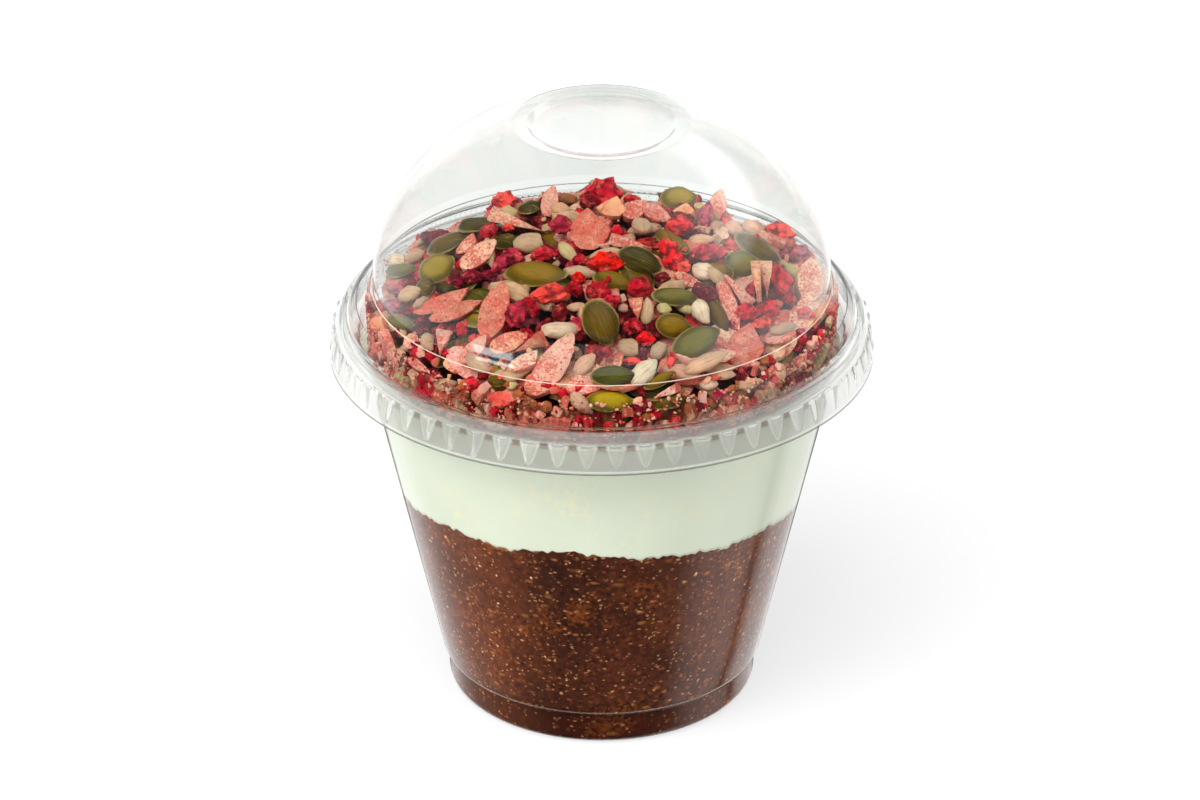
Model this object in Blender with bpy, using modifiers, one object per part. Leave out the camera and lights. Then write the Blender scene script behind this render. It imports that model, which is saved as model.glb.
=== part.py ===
"""Layered chia pudding in a shut clear cup with a dome lid.

Lengths at the top are millimetres, and MM turns them into Blender's metres. The origin is the
centre of the cup's base, +Z is up, and the cup stands on Z = 0.
"""

import math
import random

import bmesh
import bpy
from mathutils import Matrix, Vector

MM = 0.001
SEED = 41

# Clear cup: a rounded foot, a small stacking step, and a straight taper up to a rolled rim.
CUP_WALL = 0.45
CUP_STEPS = 48
FOOT_RADIUS = 28.7
FOOT_ROUND = 2.2
FOOT_ARCS = 3
STEP_HEIGHT = 7.5
STEP_RADIUS = 29.8
STEP_INSET = 0.4
NECK_HEIGHT = 71.3
NECK_RADIUS = 44.3
RIM_RADIUS = 47.5
RIM_ROLL = 1.6
RIM_CENTRE_Z = 73.0
RIM_ANGLES = (165, 120, 75, 30, -15, -60)

# Dome lid: fluted skirt, ribbed ledge, half an oblate ball, and a flat ring round a shallow recess.
LID_WALL = 0.45
LID_STEPS = 60
SKIRT_BOTTOM = 67.8
SKIRT_RADIUS = 49.6
SHOULDER_RADIUS = 48.8
SHOULDER_HEIGHT = 73.8
SHOULDER_ROUND = 0.6
LEDGE_RADIUS = 45.4
LEDGE_HEIGHT = 78.0
COLLAR_RADIUS = 43.6
COLLAR_HEIGHT = 79.7
DOME_RADIUS = 41.8
DOME_RISE = 32.5
DOME_CENTRE_Z = 83.4
DOME_FOOT_Z = 80.9
DOME_ARCS = 7
RING_OUTER = 16.4
RING_INNER = 13.5
RECESS_DEPTH = 1.2
RECESS_SLOPE = 0.7

# Flutes: tapered ribs round the skirt, two steps to a flute, that fade out at its bottom edge.
FLUTE_TOP = 73.0
FLUTE_PROUD = 0.45
FLUTE_ROOT = 0.3
SKIRT_FLARE = 50.0

# Contents. The layers keep FOOD_GAP to the cup and to each other.
FOOD_GAP = 0.3
LAYER_STEPS = 48
PUDDING_TOP = 43.2
CREAM_TOP = 69.6

# Waves of the pudding's uneven top at the wall: number round the cup, height, and phase.
LAYER_WAVES = ((2, 2.0, -1.05), (7, 0.4, 0.5), (11, 0.3, 2.0))

# Heaped topping: a core, and the pieces that show, each sunk part of the way into it.
CORE_STEPS = 36
CORE_TOP = 92.6
CORE_EDGE_Z = 79.0
CORE_RADIUS = 39.4
CORE_BELLY = 41.2
CORE_FLANK_SLOPE = 2.6
CORE_POWER = 2.2
CORE_RINGS = 6
LID_CLEARANCE = 0.5
PIECE_LIFT = 0.35

# Kinds of piece: name, number, half length, half width, half thickness, spacing, tilt in degrees.
PIECE_KINDS = (
    ("flake", 16, 7.4, 3.2, 1.1, 8.0, 19),
    ("pumpkin_seed", 32, 5.6, 3.6, 1.5, 7.0, 22),
    ("berry", 22, 3.8, 3.3, 2.9, 6.0, 46),
    ("sunflower_seed", 24, 4.1, 2.1, 1.6, 5.0, 27),
)
TRIES = 60
BERRY_ROUGHNESS = 0.16
SEED_ROUGHNESS = 0.05

PET_COLOUR = (0.86, 0.9, 0.88)
PUDDING_COLOUR = (0.13, 0.045, 0.02)
CREAM_COLOUR = (0.68, 0.72, 0.62)
TOPPING_COLOUR = (0.22, 0.2, 0.06)


def clear_scene():
    for obj in list(bpy.data.objects):
        bpy.data.objects.remove(obj, do_unlink=True)


def new_collection(name):
    collection = bpy.data.collections.new(name)
    bpy.context.scene.collection.children.link(collection)
    return collection


def make_material(name, colour, roughness, transmission=0.0):
    material = bpy.data.materials.new(name)
    material.use_nodes = True
    shader = material.node_tree.nodes["Principled BSDF"]
    shader.inputs["Base Color"].default_value = (*colour, 1.0)
    shader.inputs["Roughness"].default_value = roughness
    shader.inputs["Metallic"].default_value = 0.0
    shader.inputs["Transmission Weight"].default_value = transmission
    return material


def add_object(name, mesh, collection, material=None):
    obj = bpy.data.objects.new(name, mesh)
    collection.objects.link(obj)
    if material:
        mesh.materials.append(material)
    return obj


def apply_modifiers(obj):
    """Replaces the object's mesh by its evaluated one."""
    graph = bpy.context.evaluated_depsgraph_get()
    mesh = bpy.data.meshes.new_from_object(obj.evaluated_get(graph))
    obj.modifiers.clear()
    obj.data = mesh


def smooth(obj):
    obj.data.shade_smooth()
    obj.data.set_sharp_from_angle(angle=math.radians(35))


def turned(name, profile, steps, collection, material=None):
    """A solid of revolution round Z from (radius, height) points in millimetres."""
    mesh = bpy.data.meshes.new(name)
    points = [(r * MM, 0.0, z * MM) for r, z in profile]
    mesh.from_pydata(points, [(i, i + 1) for i in range(len(points) - 1)], [])
    obj = add_object(name, mesh, collection, material)
    screw = obj.modifiers.new("Turn", "SCREW")
    screw.axis = "Z"
    screw.angle = math.tau
    screw.steps = steps
    screw.render_steps = steps
    screw.use_merge_vertices = True
    screw.merge_threshold = 0.00002
    return obj


def wall_radius(z):
    """Outer radius of the cup's tapered wall at height z."""
    slope = (NECK_RADIUS - STEP_RADIUS) / (NECK_HEIGHT - STEP_HEIGHT)
    return STEP_RADIUS + slope * (z - STEP_HEIGHT)


def foot_face(inset):
    """The foot's outline from the axis up to the stacking step, moved inwards by inset."""
    points = [(0.0, inset)]
    for arc in range(FOOT_ARCS + 1):
        angle = math.radians(-90 + 90 * arc / FOOT_ARCS)
        radius = FOOT_RADIUS - FOOT_ROUND + (FOOT_ROUND - inset) * math.cos(angle)
        points.append((radius, FOOT_ROUND + (FOOT_ROUND - inset) * math.sin(angle)))
    points.append((STEP_RADIUS - STEP_INSET - inset, STEP_HEIGHT - STEP_INSET))
    points.append((STEP_RADIUS - inset, STEP_HEIGHT))
    return points


def rim_roll():
    """The rolled rim from the inner wall over the top and down to the neck."""
    centre_r = RIM_RADIUS - RIM_ROLL
    points = [(NECK_RADIUS - CUP_WALL, NECK_HEIGHT)]
    for degrees in RIM_ANGLES:
        across = RIM_ROLL * math.cos(math.radians(degrees))
        up = RIM_ROLL * math.sin(math.radians(degrees))
        points.append((centre_r + across, RIM_CENTRE_Z + up))
    points.append((NECK_RADIUS, NECK_HEIGHT))
    return points


def build_cup(collection, material):
    profile = foot_face(CUP_WALL) + rim_roll() + foot_face(0.0)[::-1]
    cup = turned("cup", profile, CUP_STEPS, collection, material)
    apply_modifiers(cup)
    smooth(cup)
    return cup


def dome_arc(inset):
    """Points of the dome's outline from the ring down to its widest place."""
    radius = DOME_RADIUS - inset
    rise = DOME_RISE - inset
    start = math.acos(RING_OUTER / DOME_RADIUS)
    points = []
    for step in range(DOME_ARCS + 1):
        angle = start * (1 - step / DOME_ARCS)
        points.append((radius * math.cos(angle), DOME_CENTRE_Z + rise * math.sin(angle)))
    return points


def lid_outline(inset):
    """The lid's face from the middle of the recess down to the skirt, moved inwards by inset."""
    arc = dome_arc(inset)
    top = arc[0][1]
    return (
        [
            (0.0, top - RECESS_DEPTH),
            (RING_INNER - RECESS_SLOPE, top - RECESS_DEPTH),
            (RING_INNER + inset / 2, top),
        ]
        + arc
        + [
            (DOME_RADIUS - inset, DOME_FOOT_Z - inset / 2),
            (COLLAR_RADIUS - inset / 2, COLLAR_HEIGHT - inset),
            (LEDGE_RADIUS - inset / 3, LEDGE_HEIGHT - inset),
            (SHOULDER_RADIUS - SHOULDER_ROUND - inset, SHOULDER_HEIGHT + SHOULDER_ROUND - inset / 2),
            (SHOULDER_RADIUS - inset, SHOULDER_HEIGHT - inset),
            (SKIRT_RADIUS - inset, SKIRT_BOTTOM),
        ]
    )


def build_flutes(collection):
    """A ring with a zigzag outer face: ribs at the top of the skirt, smooth at its bottom edge."""
    steps = LID_STEPS * 2
    share = (FLUTE_TOP - SKIRT_BOTTOM) / (SHOULDER_HEIGHT - SKIRT_BOTTOM)
    valley = SKIRT_RADIUS - (SKIRT_RADIUS - SHOULDER_RADIUS) * share
    peak = valley + FLUTE_PROUD
    profile = [
        (valley - FLUTE_ROOT, FLUTE_TOP),
        (peak, FLUTE_TOP),
        (SKIRT_FLARE, SKIRT_BOTTOM),
        (SKIRT_RADIUS - FLUTE_ROOT, SKIRT_BOTTOM),
        (valley - FLUTE_ROOT, FLUTE_TOP),
    ]
    ring = turned("skirt_flutes", profile, steps, collection)
    apply_modifiers(ring)
    for vertex in ring.data.vertices:
        x, y, z = vertex.co
        radius = math.hypot(x, y) / MM
        step = round(math.atan2(y, x) / math.tau * steps)
        if step % 2 and z > (FLUTE_TOP - FLUTE_ROOT) * MM and radius > valley:
            vertex.co = Vector((x * valley / radius, y * valley / radius, z))
    bm = bmesh.new()
    bm.from_mesh(ring.data)
    bmesh.ops.remove_doubles(bm, verts=bm.verts, dist=0.00001)
    bmesh.ops.recalc_face_normals(bm, faces=bm.faces)
    bm.to_mesh(ring.data)
    bm.free()


def build_lid(collection, material):
    profile = lid_outline(0.0) + lid_outline(LID_WALL)[::-1]
    lid = turned("lid", profile, LID_STEPS, collection, material)
    apply_modifiers(lid)
    helpers = new_collection("lid_flutes")
    build_flutes(helpers)
    union(lid, helpers)
    smooth(lid)
    return lid


def union(obj, helpers):
    """Fuses the collection's objects onto obj, then removes them."""
    boolean = obj.modifiers.new("Fuse", "BOOLEAN")
    boolean.operation = "UNION"
    boolean.operand_type = "COLLECTION"
    boolean.collection = helpers
    boolean.solver = "MANIFOLD"
    apply_modifiers(obj)
    for helper in list(helpers.objects):
        bpy.data.objects.remove(helper, do_unlink=True)
    bpy.data.collections.remove(helpers)
    keep_main_body(obj)


def keep_main_body(obj):
    """Drops loose scraps and the shells of sealed hollows, which fills them."""
    bm = bmesh.new()
    bm.from_mesh(obj.data)
    unseen = set(bm.verts)
    bodies = []
    while unseen:
        stack = [unseen.pop()]
        body = list(stack)
        while stack:
            for edge in stack.pop().link_edges:
                for vertex in edge.verts:
                    if vertex in unseen:
                        unseen.remove(vertex)
                        stack.append(vertex)
                        body.append(vertex)
        bodies.append(body)
    bodies.sort(key=len)
    for body in bodies[:-1]:
        bmesh.ops.delete(bm, geom=body, context="VERTS")
    bmesh.ops.triangulate(bm, faces=bm.faces)
    bm.to_mesh(obj.data)
    bm.free()


def layer_height(angle, share):
    """Height of the pudding's uneven top: waves at the wall that fade towards the middle."""
    wave = sum(size * math.sin(count * angle + phase) for count, size, phase in LAYER_WAVES)
    return PUDDING_TOP + share * wave


def shape_interface(obj, base, lift):
    """Moves the vertices that lie at height base onto the uneven surface, raised by lift."""
    reach = (wall_radius(PUDDING_TOP) - CUP_WALL - FOOD_GAP) * MM
    for vertex in obj.data.vertices:
        x, y, z = vertex.co
        if abs(z - base * MM) > 0.00001:
            continue
        radius = math.hypot(x, y)
        height = layer_height(math.atan2(y, x), radius / reach) + lift
        scale = 1.0
        if radius > reach * 0.99:
            inner = wall_radius(height) - CUP_WALL - FOOD_GAP
            scale = inner * MM / radius
        vertex.co = (x * scale, y * scale, height * MM)
    bm = bmesh.new()
    bm.from_mesh(obj.data)
    bmesh.ops.triangulate(bm, faces=bm.faces)
    bm.to_mesh(obj.data)
    bm.free()


def build_pudding(collection, material):
    side = wall_radius(PUDDING_TOP) - CUP_WALL - FOOD_GAP
    top = [(side * share, PUDDING_TOP) for share in (0.0, 0.35, 0.7, 1.0)]
    profile = top + foot_face(CUP_WALL + FOOD_GAP)[::-1]
    pudding = turned("chia_pudding", profile, LAYER_STEPS, collection, material)
    apply_modifiers(pudding)
    shape_interface(pudding, PUDDING_TOP, 0.0)
    smooth(pudding)
    return pudding


def build_cream(collection, material):
    low = wall_radius(PUDDING_TOP) - CUP_WALL - FOOD_GAP
    high = wall_radius(CREAM_TOP) - CUP_WALL - FOOD_GAP
    bottom = [(low * share, PUDDING_TOP) for share in (1.0, 0.7, 0.35, 0.0)]
    profile = [(0.0, CREAM_TOP), (high * 0.55, CREAM_TOP), (high, CREAM_TOP)] + bottom
    cream = turned("cream_layer", profile, LAYER_STEPS, collection, material)
    apply_modifiers(cream)
    shape_interface(cream, PUDDING_TOP, FOOD_GAP + 0.1)
    smooth(cream)
    return cream


def core_height(radius):
    """Height of the core at this distance from the axis: a round heap with a steep flank."""
    if radius > CORE_RADIUS:
        return CORE_EDGE_Z - (radius - CORE_RADIUS) * CORE_FLANK_SLOPE
    return CORE_TOP - (CORE_TOP - CORE_EDGE_Z) * (radius / CORE_RADIUS) ** CORE_POWER


def clear_of_lid(point):
    """True where a point in millimetres keeps LID_CLEARANCE to the inside of the lid and cup."""
    radius = math.hypot(point.x, point.y)
    spare = LID_WALL + LID_CLEARANCE
    if point.z < COLLAR_HEIGHT - spare:
        return radius < COLLAR_RADIUS - spare and point.z > CREAM_TOP + FOOD_GAP
    lift = max(point.z - DOME_CENTRE_Z, 0.0) / (DOME_RISE - spare)
    return lift < 1.0 and radius < (DOME_RADIUS - spare) * math.sqrt(1.0 - lift * lift)


def piece_mesh(kind, size, draw):
    """A low-sided flake, seed or berry crumb, with its length along X, in millimetres."""
    bm = bmesh.new()
    if kind in ("flake", "pumpkin_seed"):
        bmesh.ops.create_uvsphere(bm, u_segments=6, v_segments=4, radius=1.0)
        bmesh.ops.rotate(bm, verts=bm.verts, matrix=Matrix.Rotation(math.pi / 2, 3, "Y"))
    else:
        bmesh.ops.create_icosphere(bm, subdivisions=1, radius=1.0)
    rough = BERRY_ROUGHNESS if kind == "berry" else SEED_ROUGHNESS
    for vertex in bm.verts:
        vertex.co *= 1.0 + draw.uniform(-rough, rough)
    bmesh.ops.scale(bm, verts=bm.verts, vec=size)
    return bm


def place_piece(kind, size, tilt, spot, draw):
    """The piece's mesh turned at random and laid on the core, or None where the lid is too near."""
    radius = math.hypot(spot.x, spot.y)
    bm = piece_mesh(kind, size, draw)
    slope = (core_height(radius + 0.5) - core_height(radius - 0.5)) if radius > 0.5 else 0.0
    outward = Vector((spot.x, spot.y, 0.0)).normalized() if radius > 0.1 else Vector((1, 0, 0))
    normal = (Vector((0, 0, 1)) - outward * slope).normalized()
    lean = Vector((draw.uniform(-1, 1), draw.uniform(-1, 1), 0.0)) * math.tan(math.radians(tilt))
    turn = (normal + lean).to_track_quat("Z", "Y").to_matrix()
    spin = Matrix.Rotation(draw.uniform(0, math.tau), 3, "Z")
    bmesh.ops.rotate(bm, verts=bm.verts, matrix=turn @ spin)
    base = Vector((spot.x, spot.y, core_height(radius))) + normal * (size[2] * PIECE_LIFT)
    bmesh.ops.translate(bm, verts=bm.verts, vec=base)
    if not all(clear_of_lid(vertex.co) for vertex in bm.verts):
        bm.free()
        return None
    bmesh.ops.scale(bm, verts=bm.verts, vec=(MM, MM, MM))
    return bm


def scatter_pieces(helpers):
    """Lays the kinds down in turn, largest first, each clear of the places already taken."""
    draw = random.Random(SEED)
    taken = []
    for kind, count, length, width, thickness, spacing, tilt in PIECE_KINDS:
        laid = 0
        for _ in range(count * TRIES):
            if laid == count:
                break
            angle = draw.uniform(0, math.tau)
            radius = (CORE_BELLY - 0.4) * math.sqrt(draw.random())
            spot = Vector((radius * math.cos(angle), radius * math.sin(angle)))
            if any((spot - other).length < spacing for other in taken):
                continue
            grow = draw.uniform(0.85, 1.08)
            size = (length * grow, width * grow, thickness * grow)
            bm = place_piece(kind, size, tilt, spot, draw)
            if bm is None:
                continue
            mesh = bpy.data.meshes.new(f"{kind}_{laid:02d}")
            bm.to_mesh(mesh)
            bm.free()
            add_object(mesh.name, mesh, helpers)
            taken.append(spot)
            laid += 1


def build_topping(collection, material):
    rings = [CORE_RADIUS * step / CORE_RINGS for step in range(CORE_RINGS + 1)]
    profile = [(r, core_height(r)) for r in rings]
    profile += [(CORE_BELLY, core_height(CORE_BELLY)), (CORE_BELLY, CREAM_TOP + FOOD_GAP)]
    profile += [(0.0, CREAM_TOP + FOOD_GAP)]
    topping = turned("seed_topping", profile, CORE_STEPS, collection, material)
    apply_modifiers(topping)
    helpers = new_collection("topping_pieces")
    scatter_pieces(helpers)
    union(topping, helpers)
    return topping


def main():
    clear_scene()
    pot = new_collection("chia_pudding_pot")
    clear_plastic = make_material("clear_plastic", PET_COLOUR, 0.05, transmission=1.0)
    build_cup(pot, clear_plastic)
    build_lid(pot, clear_plastic)
    build_pudding(pot, make_material("dark_pudding", PUDDING_COLOUR, 0.35))
    build_cream(pot, make_material("pale_cream", CREAM_COLOUR, 0.4))
    build_topping(pot, make_material("seed_mix", TOPPING_COLOUR, 0.55))


main()
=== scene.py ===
"""Looks of a layered chia pudding in a shut clear cup with a dome lid.

Lengths are millimetres unless a name says otherwise, and MM turns them into metres. The cup's
axis is Z, and the picture's viewer looks along +Y, from about 27 degrees above the horizontal.
"""

import math
import random

import bpy
import numpy as np
from mathutils import Matrix, Vector


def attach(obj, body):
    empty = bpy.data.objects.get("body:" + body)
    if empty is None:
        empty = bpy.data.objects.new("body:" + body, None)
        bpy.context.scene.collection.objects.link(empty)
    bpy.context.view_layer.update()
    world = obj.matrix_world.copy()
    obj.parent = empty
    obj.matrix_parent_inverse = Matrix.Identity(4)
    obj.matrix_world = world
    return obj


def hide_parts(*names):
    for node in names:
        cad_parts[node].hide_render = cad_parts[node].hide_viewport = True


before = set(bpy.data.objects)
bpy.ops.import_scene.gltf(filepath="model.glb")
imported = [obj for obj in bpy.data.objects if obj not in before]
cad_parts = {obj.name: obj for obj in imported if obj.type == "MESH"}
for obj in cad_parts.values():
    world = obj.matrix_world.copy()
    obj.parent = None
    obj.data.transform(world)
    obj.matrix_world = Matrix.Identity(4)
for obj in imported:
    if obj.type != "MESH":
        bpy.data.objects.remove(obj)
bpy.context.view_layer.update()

MM = 0.001
SEED = 7

# Camera of the picture, 1200 pixels wide and 800 high.
PICTURE_WIDTH = 1200
PICTURE_HEIGHT = 800
CAMERA_TARGET = Vector((-0.312, 0.0, 56.913))
CAMERA_ELEVATION = math.radians(27.47)
CAMERA_DISTANCE = 1000.0
PIXELS_AT_ONE = 5417.0
PIXELS_PER_MM = PIXELS_AT_ONE / CAMERA_DISTANCE
SENSOR_WIDTH = 36.0

# Clear cup, as in the CAD: rounded foot, stacking step, straight taper, rolled rim.
PLASTIC = 0.26
FOOT_RADIUS = 28.7
FOOT_ROUND = 2.2
STEP_HEIGHT = 7.5
STEP_RADIUS = 29.8
STEP_INSET = 0.95
NECK_HEIGHT = 71.3
NECK_RADIUS = 44.3
RIM_RADIUS = 47.5
RIM_ROLL = 1.6
RIM_CENTRE_Z = 73.0
BASE_PUNT = 0.9
BASE_PUNT_RADIUS = 24.0
CUP_STEPS = 240

# Dome lid, as in the CAD, with finer arcs, a bead, flutes and ribs.
SKIRT_BOTTOM = 67.8
SKIRT_RADIUS = 49.9
SHOULDER_RADIUS = 48.8
SHOULDER_HEIGHT = 73.8
BEAD_RADIUS = 0.95
BEAD_CENTRE = (47.35, 74.95)
LEDGE_RADIUS = 45.4
LEDGE_HEIGHT = 78.0
COLLAR_RADIUS = 43.6
COLLAR_HEIGHT = 79.7
DOME_RADIUS = 41.8
DOME_RISE = 32.5
DOME_CENTRE_Z = 83.4
DOME_FOOT_Z = 80.9
DOME_ARCS = 26
RING_OUTER = 16.4
RING_INNER = 13.5
RECESS_DEPTH = 1.0
RECESS_SLOPE = 0.7
FLUTES = 60
STEPS_PER_FLUTE = 8
FLUTE_DEPTH = 0.42
FLUTE_TOP = 73.1
FLUTE_POINT = 68.9
FLUTE_ROWS = 8
RIB_DEPTH = 0.2
RIB_ROWS = ((44.9, 78.42), (45.4, 77.9), (45.85, 77.1), (46.35, 76.1))
# Where the foot's band, the ribbed slope and the bead's face end, for the lid's other materials.
FOOT_BAND_RADIUS = 45.0
FOOT_BAND_TOP = 83.0
RIBBED_RADII = (44.6, 46.9)
RIBBED_BOTTOM = 75.9
BEAD_FACE_RADIUS = 47.7
BEAD_FACE_TOP = 75.3

# Contents.
PUDDING_TOP = 43.2
CREAM_TOP = 69.6
# Waves of the pudding's top: how many go round, height and phase.
LAYER_WAVES = ((2, 2.0, -1.05), (7, 0.4, 0.5), (11, 0.3, 2.0), (29, 0.18, 1.0), (53, 0.13, 4.0),
               (71, 0.12, 2.5), (97, 0.11, 0.3), (131, 0.1, 5.1), (167, 0.08, 1.9))
LAYER_GAP = 0.1
INTO_WALL = 0.2
LAYER_STEPS = 720
RING_SHARES = (0.94, 0.85, 0.7, 0.5, 0.25, 0.0)

# Heap: its mean surface, and the smaller core below the loose pieces.
HEAP_TOP = 94.0
HEAP_EDGE = 79.2
HEAP_RADIUS = 41.0
HEAP_POWER = 2.2
CORE_DEPTH = 5.6
CORE_RADIUS = 38.6
CELL = 0.5


def paint(red, green, blue):
    """Linear colour from the 0 to 255 values of a picture."""
    levels = [value / 255 for value in (red, green, blue)]
    return [v / 12.92 if v <= 0.04045 else ((v + 0.055) / 1.055) ** 2.4 for v in levels] + [1.0]


# Colours of the loose pieces.
TONES = {
    "olive": paint(86, 62, 2),
    "bright_olive": paint(122, 89, 2),
    "lime": paint(156, 130, 14),
    "dark_olive": paint(52, 44, 8),
    "pale_olive": paint(156, 130, 36),
    "grey_olive": paint(104, 94, 42),
    "green": paint(62, 62, 12),
    "beige": paint(202, 160, 128),
    "grey_beige": paint(192, 158, 126),
    "white": paint(230, 200, 172),
    "greenish": paint(196, 176, 124),
    "pinkish": paint(208, 156, 132),
    "brown": paint(160, 88, 50),
    "salmon": paint(235, 172, 146),
    "dusty": paint(212, 122, 102),
    "rosy": paint(202, 98, 82),
    "pink": paint(232, 168, 150),
    "pale": paint(228, 190, 162),
    "pale_pink": paint(231, 180, 162),
    "peach": paint(234, 170, 130),
    "pale_peach": paint(231, 188, 156),
    "coral": paint(246, 76, 64),
    "red": paint(232, 20, 28),
    "orange_red": paint(244, 26, 8),
    "raspberry": paint(214, 26, 48),
    "crimson": paint(178, 12, 32),
    "dark_crimson": paint(104, 6, 18),
    "magenta": paint(186, 40, 66),
    "dark_magenta": paint(124, 14, 40),
    "lilac": paint(186, 92, 112),
    "purple": paint(86, 18, 40),
}

# Kind of loose piece: half length, half width, half thickness, and the colours it comes in.
KINDS = {
    "pumpkin_seed": (5.6, 3.5, 1.25, "olive bright_olive dark_olive pale_olive grey_olive green"),
    "sunflower_kernel": (4.1, 1.85, 1.3, "beige grey_beige white greenish pinkish beige"),
    "almond_flake": (6.6, 3.0, 0.6, "salmon dusty dusty pink rosy pale_pink peach pale_peach"),
    "berry_bit": (2.8, 2.5, 2.2, "coral red raspberry crimson dark_crimson magenta dark_magenta lilac "
                                 "purple"),
    "fruit_chunk": (2.9, 2.4, 2.0, "peach pale_peach salmon dusty"),
    "nib": (1.5, 1.05, 0.8, "raspberry crimson dark_crimson rosy salmon beige pink brown"),
    "crumb": (0.36, 0.3, 0.26, "crimson coral pink salmon dusty beige brown peach rosy pale_pink"),
}

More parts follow.
